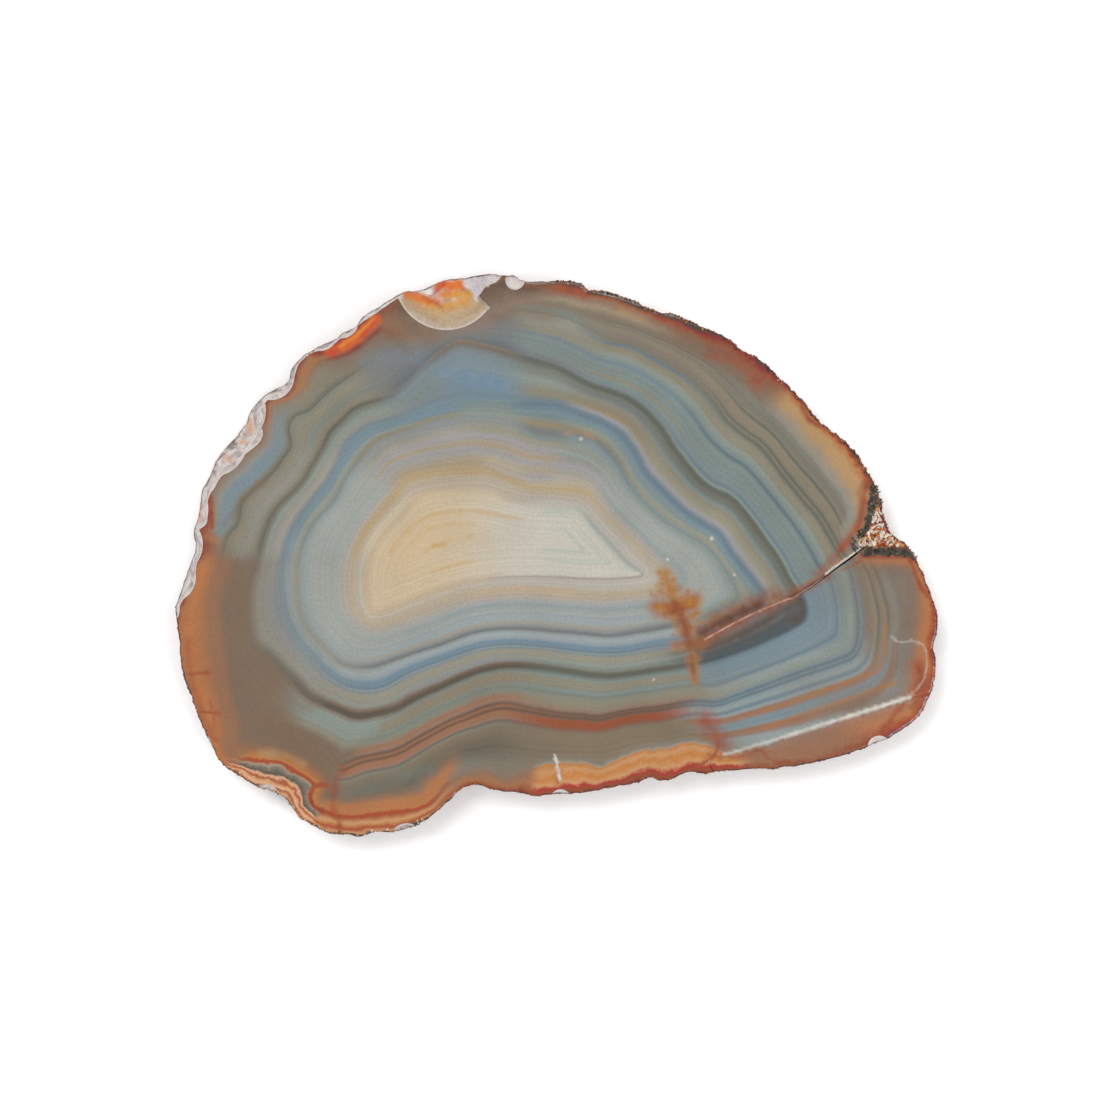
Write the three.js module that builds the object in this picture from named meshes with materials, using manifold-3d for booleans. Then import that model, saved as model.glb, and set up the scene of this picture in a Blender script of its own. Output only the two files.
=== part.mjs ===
// An agate slice: one slab of banded agate, sawn from a nodule and polished on its upper face.
// Millimetres, +Z up. The origin is the middle of the slice's outline, on the plane that it lies on.

import * as THREE from "three";
import { mergeVertices } from "three/addons/utils/BufferGeometryUtils.js";
import Module from "manifold-3d";

// Driving dimensions
const THICKNESS = 6;
const RIM_STEP = 0.8; // distance between the wall's uprights
const EDGE_BREAK = 0.12; // the worn corner round the polished face
const BASE_BREAK = 0.3; // the sawn corner round the lower face
const WALL_HEIGHTS = [0, 0.5, 1.5, 2.6, 3.8, 4.9, 5.7, THICKNESS];
const BREAK_FOOT = 0.9; // height at which the broken side of the rim starts to slope in
const NODULE_LEAN = new THREE.Vector2(0.6, -0.8); // the side on which the nodule widens upwards
const RIND_INSET = 0.25; // how far the rind's middle depth lies inside the outline
const LEAN_UNDER = 1.3; // how far its skin draws in at the base there
const RIND_LUMPS = { size: 4.2, height: 0.24 };
const RIND_PITS = { size: 1.5, height: 0.16 };
const SMALLEST_RELIEF = 0.02; // relief finer than this is left flat
const CLEARANCE = 1; // how far a cutting body stands proud of the polished face

// The outline seen from above, anticlockwise from the easternmost point. Each point is a swelling or a
// hollow of the rim. Where the side is broken, a second pair of numbers is the polished face's edge.
const EAST_RIM = [
  [55.2, -10], [54.4, -6.3], [53, -3], [51.3, 0], [50.4, 1.3], [48.3, 2.9], [47.5, 4.6], [46.9, 7.3],
  [45.4, 11], [42.3, 15.6], [38.9, 18.4], [36.7, 20.6], [33.9, 23.8],
];
const NORTH_RIM = [
  [29.8, 27.5], [26.9, 29.2], [24.8, 30.9], [20.8, 32.7, 20.6, 32.3], [16.9, 34.5, 16.7, 33.9],
  [14.9, 34.9, 14.7, 34.2], [10.4, 36.7, 10.2, 36.1], [6, 38, 5.8, 37.3], [4.6, 37.9, 4.3, 37.4],
  [3.6, 38.8, 3.3, 38.3], [1, 39.3, 1, 38.7], [-2.5, 39.2, -2.5, 38.6], [-5, 39.5, -5, 38.8],
  [-6.1, 40.1, -6.1, 39.6], [-7.7, 40.1, -7.7, 39.7], [-9, 40.4, -8.9, 39.5], [-12, 40.2],
  [-16.5, 39.7], [-20.3, 38.1, -20, 37.4], [-22, 37.7, -22, 37],
];
const NORTH_WEST_RIM = [
  [-24.2, 36.5, -24.5, 35.5], [-26.7, 35, -26.2, 34.3], [-28.2, 34, -27.9, 33.2],
  [-29, 32.8, -29.3, 32], [-31.1, 31.9, -30.9, 30.9], [-31.9, 31, -32.2, 29.9],
  [-33.7, 30.5, -33.4, 29.2], [-35.4, 29.3, -35.2, 28.7], [-37.4, 27.9, -36.9, 27.4],
  [-38.8, 26.3, -37.6, 26], [-39.1, 25.1, -38, 24.4], [-40.7, 24, -39.1, 22.7],
  [-42.3, 23.1, -41, 22.4], [-43.8, 21.8, -42.2, 21.2], [-44.8, 20.3, -42.7, 19.6],
  [-45.3, 19, -42.5, 18.2], [-46.7, 17.2, -42.4, 16.6], [-48, 15.9, -43.4, 15.2],
  [-49.1, 14.4, -45, 14], [-50, 13.1, -46, 12.5], [-50.8, 11.3, -47.7, 11.5],
  [-51.5, 9.8, -49.1, 9.8], [-52, 7.9, -50.2, 7.7],
];
const WEST_RIM = [
  [-52.3, 6, -50.3, 6], [-52.7, 4, -50.5, 4], [-53, 2.6, -51.7, 2.8], [-52.7, 1.3, -51.1, 1.4],
  [-52.8, 0, -51.1, 0], [-53.5, -1.6, -51.8, -1.5], [-54.1, -3.3, -52.1, -3.2],
  [-54.7, -5.2, -52.9, -5], [-55.1, -6.9, -53.9, -7], [-55.3, -8.6, -54.7, -8.6],
  [-54.9, -10.6, -54.6, -10.6], [-54.7, -12.5], [-53.9, -18], [-52.2, -22.7], [-50.4, -27.4],
  [-48.3, -30.7],
];
const SOUTH_WEST_RIM = [
  [-44.6, -33.2], [-42.7, -34.3], [-40.7, -34.9], [-39.1, -35.8], [-38.2, -37.2], [-37, -38.7],
  [-35, -39.7], [-33.3, -40.6], [-31.7, -40.9], [-30.1, -40.8], [-28.4, -41.2], [-26.3, -40.6],
  [-23.5, -40.5], [-20.9, -39.9], [-18.4, -38.4], [-15.6, -36.1],
];
const SOUTH_RIM = [
  [-13.2, -34.1], [-11.7, -33.7], [-9, -34.6], [-5, -35], [-3, -35.4], [0.5, -35.2], [6, -34.6],
  [11.8, -33.3], [13.4, -32.6], [14.7, -33.1], [16.6, -32.9], [19.3, -31.9], [21.2, -32.1], [25, -31.6],
  [31, -31.4], [37, -30.7], [42.8, -29.1],
];
const SOUTH_EAST_RIM = [
  [46.7, -27.6], [48.5, -26.8], [52.1, -24.2], [53.8, -21.4], [54.9, -17.6], [55, -15.6], [54.6, -13.8],
];

// Shell-shaped chips struck out of the polished edge: the middle in plan, the radius where the chip
// meets the polished face, and the depth at the middle.
const CHIPS = [
  { x: -15.9, y: 39.5, radius: 7.5, depth: 3.5 },
  { x: -18.8, y: 39.2, radius: 3.0, depth: 3.9 },
  { x: -13.0, y: 40.0, radius: 3.3, depth: 4.0 },
  { x: -9.9, y: 40.7, radius: 2.1, depth: 2.2 },
  { x: -6.0, y: 39.2, radius: 1.4, depth: 1.3 },
  { x: -27.7, y: 36.4, radius: 2.6, depth: 1.5 },
  { x: -31.1, y: 33.4, radius: 2.6, depth: 1.6 },
  { x: -34.1, y: 31.5, radius: 2.5, depth: 1.9 },
  { x: -39.6, y: 27.2, radius: 2.3, depth: 1.7 },
  { x: -41.2, y: 25.3, radius: 3.4, depth: 2.6 },
  { x: -46.9, y: 20.4, radius: 5.0, depth: 3.6 },
  { x: -49.6, y: 15.9, radius: 5.0, depth: 4.2 },
  { x: -52.9, y: 11.6, radius: 4.3, depth: 3.7 },
  { x: -54.0, y: 6.2, radius: 3.8, depth: 3.2 },
  { x: -54.9, y: 1.2, radius: 3.9, depth: 3.0 },
  { x: -55.7, y: -3.6, radius: 3.7, depth: 2.6 },
  { x: -57.0, y: -8.2, radius: 2.7, depth: 1.7 },
  { x: -51.2, y: -27.8, radius: 1.5, depth: 0.9 },
  { x: -42.0, y: -35.7, radius: 2.2, depth: 1.6 },
  { x: -21.6, y: -41.5, radius: 2.4, depth: 1.8 },
  { x: 0.6, y: -35.7, radius: 1.5, depth: 1.1 },
  { x: 46.6, y: -28.2, radius: 1.7, depth: 1.3 },
];

// The open crack that runs in from the pocket: its middle line, and its width where it starts.
const CRACK_LINE = [
  [45.4, 1.5], [44.2, 0.5], [42.4, -0.9], [40.6, -2.2], [39, -3.4], [37.2, -4.8], [35, -6.2],
];
const CRACK_WIDTH = 0.55;
const CRACK_DEPTH = 2.2;

// The pocket of quartz grains at the east rim.
const POCKET_OUTLINE = [
  [48.6, 5.2], [47.4, 6.6], [46.4, 6.4], [45.5, 5.1], [45.2, 3.4], [43.6, 1.7], [43.5, 1], [45.3, 0.8],
  [47.3, 0.8], [50, 0.7], [52, 1], [51, 3],
];
const POCKET_DEPTH = 0.9;
const GRAIN_COVER = 0.05; // how far the tips of the grains stay below the polished face
const GRAINS = [
  { x: 46.6, y: 5.2, size: 0.8 },
  { x: 46.2, y: 3.7, size: 0.75 },
  { x: 47.1, y: 3.9, size: 0.7 },
  { x: 45.9, y: 2.4, size: 0.85 },
  { x: 47.2, y: 2.5, size: 0.9 },
  { x: 44.7, y: 1.6, size: 0.6 },
  { x: 46.3, y: 1.5, size: 0.65 },
  { x: 48.2, y: 1.7, size: 0.8 },
  { x: 49.6, y: 1.3, size: 0.6 },
];

// The ledge across the south-east corner, where the last of the stone broke away from the saw.
const LEDGE_START = new THREE.Vector2(22, -30);
const LEDGE_END = new THREE.Vector2(58, -18.8);
const LEDGE_PROFILE = [
  [0, 0], [0.55, -0.32], [14, -0.85],
]; // distance out from the line, and height from the polished face

const AGATE_COLOUR = "#7f7866";
const AGATE_ROUGHNESS = 0.25;

const wasm = await Module();
wasm.setup();

// A number from -1 to 1 that is always the same for one corner of a cubic grid.
function cornerValue(i, j, k) {
  let hash = Math.imul(i, 374761393) + Math.imul(j, 668265263) + Math.imul(k, 1274126177);
  hash = Math.imul(hash ^ (hash >>> 13), 1274126177);
  return ((hash ^ (hash >>> 16)) >>> 0) / 2147483648 - 1;
}

// Smooth noise from -1 to 1, with lumps about one unit across.
function noise(x, y, z) {
  const [i, j, k] = [Math.floor(x), Math.floor(y), Math.floor(z)];
  const ease = (t) => t * t * (3 - 2 * t);
  const [u, v, w] = [ease(x - i), ease(y - j), ease(z - k)];
  const { lerp } = THREE.MathUtils;
  const edge = (b, c) => lerp(cornerValue(i, b, c), cornerValue(i + 1, b, c), u);
  return lerp(lerp(edge(j, k), edge(j + 1, k), v), lerp(edge(j, k + 1), edge(j + 1, k + 1), v), w);
}

// How far the rough rind stands out from the outline, with its lumps and its pits.
function rindHeight(x, y, z) {
  const layer = ({ size, height }) => height * noise(x / size, y / size, z / size + 7);
  return layer(RIND_LUMPS) + layer(RIND_PITS);
}

// How far the skin draws in at this height on the side on which the nodule widens upwards.
function leanDepth(outward, z) {
  return Math.max(outward.dot(NODULE_LEAN), 0) * LEAN_UNDER * (1 - z / THICKNESS) ** 1.5;
}

// How far the corners of the sawn slab are worn in at this height.
function cornerDepth(z) {
  if (z === THICKNESS) return EDGE_BREAK;
  return z === 0 ? BASE_BREAK : 0;
}

// How far a broken side has sloped in at this height, from 0 at its foot to 1 at the polished edge.
function breakShare(z) {
  return (Math.max(z - BREAK_FOOT, 0) / (THICKNESS - BREAK_FOOT)) ** 0.65;
}

// The wall's uprights: a place on the outline, the place on the polished edge above it, and outward.
function rimStations() {
  const points = [
    ...EAST_RIM, ...NORTH_RIM, ...NORTH_WEST_RIM, ...WEST_RIM, ...SOUTH_WEST_RIM, ...SOUTH_RIM,
    ...SOUTH_EAST_RIM,
  ];
  const curveThrough = (places) => new THREE.CatmullRomCurve3(places, true, "centripetal");
  const rim = curveThrough(points.map(([x, y]) => new THREE.Vector3(x, y, 0)));
  const edge = curveThrough(points.map(([x, y, edgeX = x, edgeY = y]) => new THREE.Vector3(edgeX, edgeY, 0)));
  const stations = [];
  rim.points.forEach((point, i) => {
    const length = point.distanceTo(rim.points[(i + 1) % points.length]);
    const steps = Math.max(Math.round(length / RIM_STEP), 1);
    for (let k = 0; k < steps; k++) {
      const t = (i + k / steps) / points.length;
      const { x, y } = rim.getTangent(t);
      stations.push({ place: rim.getPoint(t), edge: edge.getPoint(t), outward: new THREE.Vector2(y, -x) });
    }
  });
  return stations;
}

// A closed geometry from rings of equal length: walls between them, and a flat lid at each end.
function ringSolid(rings) {
  const count = rings[0].length;
  const triangles = [];
  for (let level = 0; level + 1 < rings.length; level++) {
    for (let i = 0; i < count; i++) {
      const next = (i + 1) % count;
      const [a, b] = [level * count + i, level * count + next];
      const [c, d] = [a + count, b + count];
      if ((i + level) % 2) triangles.push(a, b, d, a, d, c);
      else triangles.push(a, b, c, b, d, c);
    }
  }
  const flat = (ring) => ring.map((p) => new THREE.Vector2(p.x, p.y));
  const top = (rings.length - 1) * count;
  for (const [a, b, c] of THREE.ShapeUtils.triangulateShape(flat(rings.at(-1)), [])) {
    triangles.push(top + a, top + b, top + c);
  }
  for (const [a, b, c] of THREE.ShapeUtils.triangulateShape(flat(rings[0]), [])) {
    triangles.push(a, c, b);
  }
  return new THREE.BufferGeometry().setFromPoints(rings.flat()).setIndex(triangles);
}

function solidFrom(geometry) {
  const bare = new THREE.BufferGeometry().setAttribute("position", geometry.getAttribute("position"));
  if (geometry.index) bare.setIndex(geometry.index);
  const merged = mergeVertices(bare, 1e-4);
  return new wasm.Manifold(
    new wasm.Mesh({
      numProp: 3,
      vertProperties: merged.attributes.position.array,
      triVerts: new Uint32Array(merged.index.array),
    }),
  );
}

function geometryFrom(solid) {
  const { numProp, numVert, vertProperties, triVerts } = solid.getMesh();
  const places = new Float32Array(numVert * 3);
  for (let i = 0; i < numVert; i++) {
    places.set(vertProperties.subarray(i * numProp, i * numProp + 3), i * 3);
  }
  const geometry = new THREE.BufferGeometry()
    .setAttribute("position", new THREE.BufferAttribute(places, 3))
    .setIndex(new THREE.BufferAttribute(triVerts, 1))
    .toNonIndexed();
  geometry.computeVertexNormals();
  return geometry;
}

function slab() {
  const stations = rimStations();
  const rings = WALL_HEIGHTS.map((z) =>
    stations.map(({ place, edge, outward }) => {
      const { x, y } = place.clone().lerp(edge, breakShare(z));
      const depth = RIND_INSET + leanDepth(outward, z) + cornerDepth(z) - rindHeight(x, y, z);
      return new THREE.Vector3(x - outward.x * depth, y - outward.y * depth, z);
    }),
  );
  return solidFrom(ringSolid(rings));
}

function chipCutter({ x, y, radius, depth }) {
  const ball = (radius ** 2 + depth ** 2) / (2 * depth);
  const sphere = new THREE.IcosahedronGeometry(ball, Math.ceil(2 + ball));
  sphere.translate(x, y, THICKNESS - depth + ball);
  return solidFrom(sphere);
}

// A V-shaped groove along the crack, which narrows to nothing at its inner end.
function crackCutter() {
  const line = CRACK_LINE.map(([x, y]) => new THREE.Vector2(x, y));
  const rings = line.map((place, i) => {
    const ahead = line[Math.min(i + 1, line.length - 1)].clone();
    const along = ahead.sub(line[Math.max(i - 1, 0)]).normalize();
    const share = 1 - i / line.length;
    const half = (CRACK_WIDTH / 2) * share;
    const top = THICKNESS + CLEARANCE;
    const bottom = THICKNESS - CRACK_DEPTH * share;
    const side = (offset, z) =>
      new THREE.Vector3(place.x - along.y * offset, place.y + along.x * offset, z);
    return [side(half, top), side(half, THICKNESS), side(0, bottom), side(-half, THICKNESS), side(-half, top)];
  });
  const count = rings[0].length;
  const triangles = [];
  for (let i = 0; i + 1 < rings.length; i++) {
    for (let j = 0; j < count; j++) {
      const [a, b] = [i * count + j, i * count + ((j + 1) % count)];
      triangles.push(a, b, a + count, b, b + count, a + count);
    }
  }
  const last = (rings.length - 1) * count;
  for (let j = 1; j + 1 < count; j++) {
    triangles.push(0, j + 1, j, last, last + j, last + j + 1);
  }
  const geometry = new THREE.BufferGeometry().setFromPoints(rings.flat()).setIndex(triangles);
  const solid = solidFrom(geometry);
  if (solid.volume() > 0) return solid;
  for (let i = 0; i < triangles.length; i += 3) {
    [triangles[i], triangles[i + 1]] = [triangles[i + 1], triangles[i]];
  }
  return solidFrom(geometry.setIndex(triangles));
}

function pocketCutter() {
  const shape = new THREE.Shape(POCKET_OUTLINE.map(([x, y]) => new THREE.Vector2(x, y)));
  const prism = new THREE.ExtrudeGeometry(shape, {
    depth: POCKET_DEPTH + CLEARANCE,
    bevelEnabled: false,
  });
  prism.translate(0, 0, THICKNESS - POCKET_DEPTH);
  return solidFrom(prism);
}

// A grain of quartz: a small eight-sided crystal, each turned its own way.
function grain({ x, y, size }, i) {
  const crystal = new THREE.OctahedronGeometry(size);
  crystal.rotateX(0.5 + i);
  crystal.rotateZ(1.7 * i);
  crystal.translate(x, y, THICKNESS - GRAIN_COVER - size);
  return solidFrom(crystal);
}

function ledgeCutter() {
  const outline = [...LEDGE_PROFILE, [14, CLEARANCE], [0, CLEARANCE]];
  const shape = new THREE.Shape(outline.map(([out, up]) => new THREE.Vector2(out, up)));
  const back = LEDGE_START.clone().sub(LEDGE_END);
  const prism = new THREE.ExtrudeGeometry(shape, { depth: back.length(), bevelEnabled: false });
  const along = new THREE.Vector3(back.x, back.y, 0).normalize();
  const up = new THREE.Vector3(0, 0, 1);
  const out = new THREE.Vector3().crossVectors(up, along);
  prism.applyMatrix4(new THREE.Matrix4().makeBasis(out, up, along));
  prism.translate(LEDGE_END.x, LEDGE_END.y, THICKNESS);
  return solidFrom(prism);
}

function agateSlice() {
  let stone = slab();
  for (const chip of CHIPS) stone = stone.subtract(chipCutter(chip));
  stone = stone.subtract(ledgeCutter()).subtract(pocketCutter());
  GRAINS.forEach((one, i) => {
    stone = stone.add(grain(one, i));
  });
  stone = stone.subtract(crackCutter()).simplify(SMALLEST_RELIEF);
  const geometry = geometryFrom(stone);
  geometry.computeBoundingBox();
  const middle = geometry.boundingBox.getCenter(new THREE.Vector3());
  geometry.translate(-middle.x, -middle.y, 0);
  const mesh = new THREE.Mesh(
    geometry,
    new THREE.MeshStandardMaterial({ color: AGATE_COLOUR, roughness: AGATE_ROUGHNESS, metalness: 0 }),
  );
  mesh.name = "agate_slice";
  return mesh;
}

const part = new THREE.Group();
part.add(agateSlice());
export default part;
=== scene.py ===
import math
import bpy
import numpy as np
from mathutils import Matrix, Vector
from mathutils.geometry import delaunay_2d_cdt


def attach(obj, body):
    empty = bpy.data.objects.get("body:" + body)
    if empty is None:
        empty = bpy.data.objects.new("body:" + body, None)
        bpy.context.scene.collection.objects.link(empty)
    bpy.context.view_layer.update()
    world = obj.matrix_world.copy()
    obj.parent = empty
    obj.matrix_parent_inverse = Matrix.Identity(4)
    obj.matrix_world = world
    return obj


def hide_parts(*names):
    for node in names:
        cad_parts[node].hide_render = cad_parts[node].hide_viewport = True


# A polished slice of banded agate: one slab with its rind, chips, crack, ledge and a pocket of quartz.
# Lengths are in millimetres until a mesh is made. The polished face looks up.

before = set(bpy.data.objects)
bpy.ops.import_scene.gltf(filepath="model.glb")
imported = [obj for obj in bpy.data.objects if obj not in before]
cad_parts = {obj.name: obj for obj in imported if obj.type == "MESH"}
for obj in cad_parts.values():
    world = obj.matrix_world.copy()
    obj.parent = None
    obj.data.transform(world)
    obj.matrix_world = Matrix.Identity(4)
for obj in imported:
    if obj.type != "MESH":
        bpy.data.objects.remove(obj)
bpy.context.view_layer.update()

MM = 0.001
THICKNESS = 6.0
# The middle of the outline below, which is moved to the frame's middle when a mesh is made.
MIDDLE = np.array([-0.07, -0.41, 0.0])

# The outline, given point by point round the slice. Where a point has four numbers, the last two are the
# edge of the polished face, and the broken side lies between it and the rim.
EAST_RIM = [[55.2, -10], [54.4, -6.3], [53, -3], [51.3, 0], [50.4, 1.3], [48.3, 2.9], [47.5, 4.6],
            [46.9, 7.3], [45.4, 11], [42.3, 15.6], [38.9, 18.4], [36.7, 20.6], [33.9, 23.8]]
NORTH_RIM = [[29.8, 27.5], [26.9, 29.2], [24.8, 30.9], [20.8, 32.7, 20.6, 32.3], [16.9, 34.5, 16.7, 33.9],
             [14.9, 34.9, 14.7, 34.2], [10.4, 36.7, 10.2, 36.1], [6, 38, 5.8, 37.3], [4.6, 37.9, 4.3, 37.4],
             [3.6, 38.8, 3.3, 38.3], [1, 39.3, 1, 38.7], [-2.5, 39.2, -2.5, 38.6], [-5, 39.5, -5, 38.8],
             [-6.1, 40.1, -6.1, 39.6], [-7.7, 40.1, -7.7, 39.7], [-9, 40.4, -8.9, 39.5], [-12, 40.2],
             [-16.5, 39.7], [-20.3, 38.1, -20, 37.4], [-22, 37.7, -22, 37]]
NORTH_WEST_RIM = [[-24.2, 36.5, -24.5, 35.5], [-26.7, 35, -26.2, 34.3], [-28.2, 34, -27.9, 33.2],
                  [-29, 32.8, -29.3, 32], [-31.1, 31.9, -30.9, 30.9], [-31.9, 31, -32.2, 29.9],
                  [-33.7, 30.5, -33.4, 29.2], [-35.4, 29.3, -35.2, 28.7], [-37.4, 27.9, -36.9, 27.4],
                  [-38.8, 26.3, -37.6, 26], [-39.1, 25.1, -38, 24.4], [-40.7, 24, -39.1, 22.7],
                  [-42.3, 23.1, -41, 22.4], [-43.8, 21.8, -42.2, 21.2], [-44.8, 20.3, -42.7, 19.6],
                  [-45.3, 19, -42.5, 18.2], [-46.7, 17.2, -42.4, 16.6], [-48, 15.9, -43.4, 15.2],
                  [-49.1, 14.4, -45, 14], [-50, 13.1, -46, 12.5], [-50.8, 11.3, -47.7, 11.5],
                  [-51.5, 9.8, -49.1, 9.8], [-52, 7.9, -50.2, 7.7]]
WEST_RIM = [[-52.3, 6, -50.3, 6], [-52.7, 4, -50.5, 4], [-53, 2.6, -51.7, 2.8], [-52.7, 1.3, -51.1, 1.4],
            [-52.8, 0, -51.1, 0], [-53.5, -1.6, -51.8, -1.5], [-54.1, -3.3, -52.1, -3.2],
            [-54.7, -5.2, -52.9, -5], [-55.1, -6.9, -53.9, -7], [-55.3, -8.6, -54.7, -8.6],
            [-54.9, -10.6, -54.6, -10.6], [-54.7, -12.5], [-53.9, -18], [-52.2, -22.7], [-50.4, -27.4],
            [-48.3, -30.7]]
SOUTH_WEST_RIM = [[-44.6, -33.2], [-42.7, -34.3], [-40.7, -34.9], [-39.1, -35.8], [-38.2, -37.2],
                  [-37, -38.7],
                  [-35, -39.7], [-33.3, -40.6], [-31.7, -40.9], [-30.1, -40.8], [-28.4, -41.2],
                  [-26.3, -40.6], [-23.5, -40.5], [-20.9, -39.9], [-18.4, -38.4], [-15.6, -36.1]]
SOUTH_RIM = [[-13.2, -34.1], [-11.7, -33.7], [-9, -34.6], [-5, -35], [-3, -35.4], [0.5, -35.2], [6, -34.6],
             [11.8, -33.3], [13.4, -32.6], [14.7, -33.1], [16.6, -32.9], [19.3, -31.9], [21.2, -32.1],
             [25, -31.6], [31, -31.4], [37, -30.7], [42.8, -29.1]]
SOUTH_EAST_RIM = [[46.7, -27.6], [48.5, -26.8], [52.1, -24.2], [53.8, -21.4], [54.9, -17.6], [55, -15.6],
                  [54.6, -13.8]]
OUTLINE = EAST_RIM + NORTH_RIM + NORTH_WEST_RIM + WEST_RIM + SOUTH_WEST_RIM + SOUTH_RIM + SOUTH_EAST_RIM

# Shell-shaped chips: the middle in plan, the radius at the polished face, and the depth.
CHIPS = [(-15.9, 39.5, 7.5, 3.5), (-18.8, 39.2, 3, 3.9), (-13, 40, 3.3, 4), (-9.9, 40.7, 2.1, 2.2),
         (-6, 39.2, 1.4, 1.3), (-27.7, 36.4, 2.6, 1.5), (-31.1, 33.4, 2.6, 1.6), (-34.1, 31.5, 2.5, 1.9),
         (-39.6, 27.2, 2.3, 1.7), (-41.2, 25.3, 3.4, 2.6), (-46.9, 20.4, 5, 3.6), (-49.6, 15.9, 5, 4.2),
         (-52.9, 11.6, 4.3, 3.7), (-54, 6.2, 3.8, 3.2), (-54.9, 1.2, 3.9, 3), (-55.7, -3.6, 3.7, 2.6),
         (-57, -8.2, 2.7, 1.7), (-51.2, -27.8, 1.5, 0.9), (-42, -35.7, 2.2, 1.6), (-21.6, -41.5, 2.4, 1.8),
         (0.6, -35.7, 1.5, 1.1), (46.6, -28.2, 1.7, 1.3)]

CRACK = [[45.4, 1.5], [44.2, 0.5], [42.4, -0.9], [40.6, -2.2], [39, -3.4], [37.2, -4.8], [35, -6.2]]
CRACK_WIDTH = 0.26
CRACK_DEPTH = 2.2

POCKET = [[48.6, 5.2], [47.4, 6.6], [46.4, 6.4], [45.5, 5.1], [45.2, 3.4], [43.6, 1.7], [43.5, 1],
          [45.3, 0.8],
          [47.3, 0.8], [50, 0.7], [52, 1], [51, 3]]
POCKET_DEPTH = 0.9

# The ledge at the lower right: all the stone beyond this line lies a little lower.
LEDGE_START = np.array([22.0, -30.0])
LEDGE_END = np.array([58.0, -18.8])
LEDGE_STEP = (0.55, 0.32)
LEDGE_FALL = (14.0, 0.85)

# The bands, from the outside in, as closed lines that were read off the stone.
BAND_R = [(-31.3, -31.2), (-28.9, -30.2), (-26, -29.5), (-23.1, -28.8), (-20.6, -27.5), (-18.1, -26.1),
          (-15.6, -24.8), (-13.1, -23.8), (-9.9, -22.5), (-7.4, -22.1), (-4.6, -22.5), (0, -23.3),
          (3.6, -23.6),
          (6.1, -23.9), (8.9, -23.2), (12.1, -22.7), (15.4, -22.3), (17.9, -21.8), (20.7, -21.4),
          (22.9, -21.6),
          (25.7, -20.7), (28.6, -19.6), (31.4, -18.6), (34.3, -17.5), (37.5, -16.4), (40.4, -15.4),
          (42.5, -14.6), (43.4, -12.9), (43.6, -10.4), (43.4, -7.5), (42.9, -4.6), (42.4, -2.6),
          (41.2, -0.8),
          (40, 1.4), (38.6, 3.8), (37.1, 5.9), (35, 8.4), (32.9, 10.9), (31.1, 13.4), (29.3, 15.6),
          (27.1, 17),
          (24.6, 19.1), (22.9, 21.6), (20.7, 24.1), (18.6, 25.9), (16.1, 27.4), (13.6, 28.8), (10.4, 30.4),
          (7.1, 30.9), (4.3, 32.4), (2.1, 33.4), (0, 34), (-5, 34.8), (-12, 34), (-20, 31.5), (-24, 29),
          (-29, 25.6), (-31.5, 23.8), (-33.5, 22.2), (-35.7, 20.1), (-37.8, 19.4), (-38.4, 17.8),
          (-38, 15.1),
          (-39, 13.7), (-40.6, 11.5), (-42.2, 9.9), (-44, 8.3), (-45.2, 6.8), (-45.4, 5), (-46, 3.5),
          (-47.1, 2.4), (-48, 0), (-48.5, -5), (-48, -10), (-47.5, -15), (-46, -20), (-44, -24.5),
          (-41, -26.3),
          (-38.5, -26.7), (-36, -27.5), (-34, -28.6), (-32.5, -29.9)]
BAND_A = [(-43, -0.1), (-42.3, 2.6), (-41.5, 4.8), (-40.4, 6.6), (-38.1, 8.8), (-36.5, 10.6), (-35.3, 12.7),
          (-33.9, 15), (-32.8, 17.4), (-31, 19.1), (-29.6, 20.6), (-27.4, 21.6), (-24.9, 22.2),
          (-22.8, 23.1),
          (-20.8, 24.9), (-18.9, 27), (-16.7, 28.8), (-14.9, 30.2), (-13.1, 30.4), (-9.9, 29.5),
          (-4.6, 27.9),
          (0, 26.5), (2.1, 25.4), (4.6, 24.1), (7.1, 23.3), (10, 22.2), (12.1, 20.9), (13.9, 19.1),
          (15.4, 17.2),
          (16.8, 15), (18.6, 12.7), (20.4, 10.6), (22.5, 9), (25, 7.9), (26.8, 6.1), (28.6, 3.8),
          (30.4, 1.3),
          (32.1, -1.4), (33.6, -4.1), (34.6, -5.6), (35.5, -7), (35.8, -8.6), (35.6, -9.8), (34.2, -10.7),
          (31.4, -12.1), (28.6, -13.4), (25.7, -14.5), (22.9, -15.4), (19.3, -16.2), (17.1, -16.5),
          (14.3, -16.8), (10.7, -17.4), (7.9, -17.7), (5, -17.5), (2.1, -17), (0, -16.7), (-2.4, -16.4),
          (-6, -16.1), (-9.9, -16.5), (-13.1, -17.5), (-16.7, -19.1), (-20.3, -20.7), (-23.9, -22.7),
          (-26.4, -23.4), (-28.9, -23.7), (-31, -22.9), (-33.1, -22), (-35.6, -20.7), (-37.4, -18.6),
          (-39.9, -16.1), (-41.7, -14.5), (-43.6, -13.4), (-44.6, -9), (-44.2, -5)]
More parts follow.
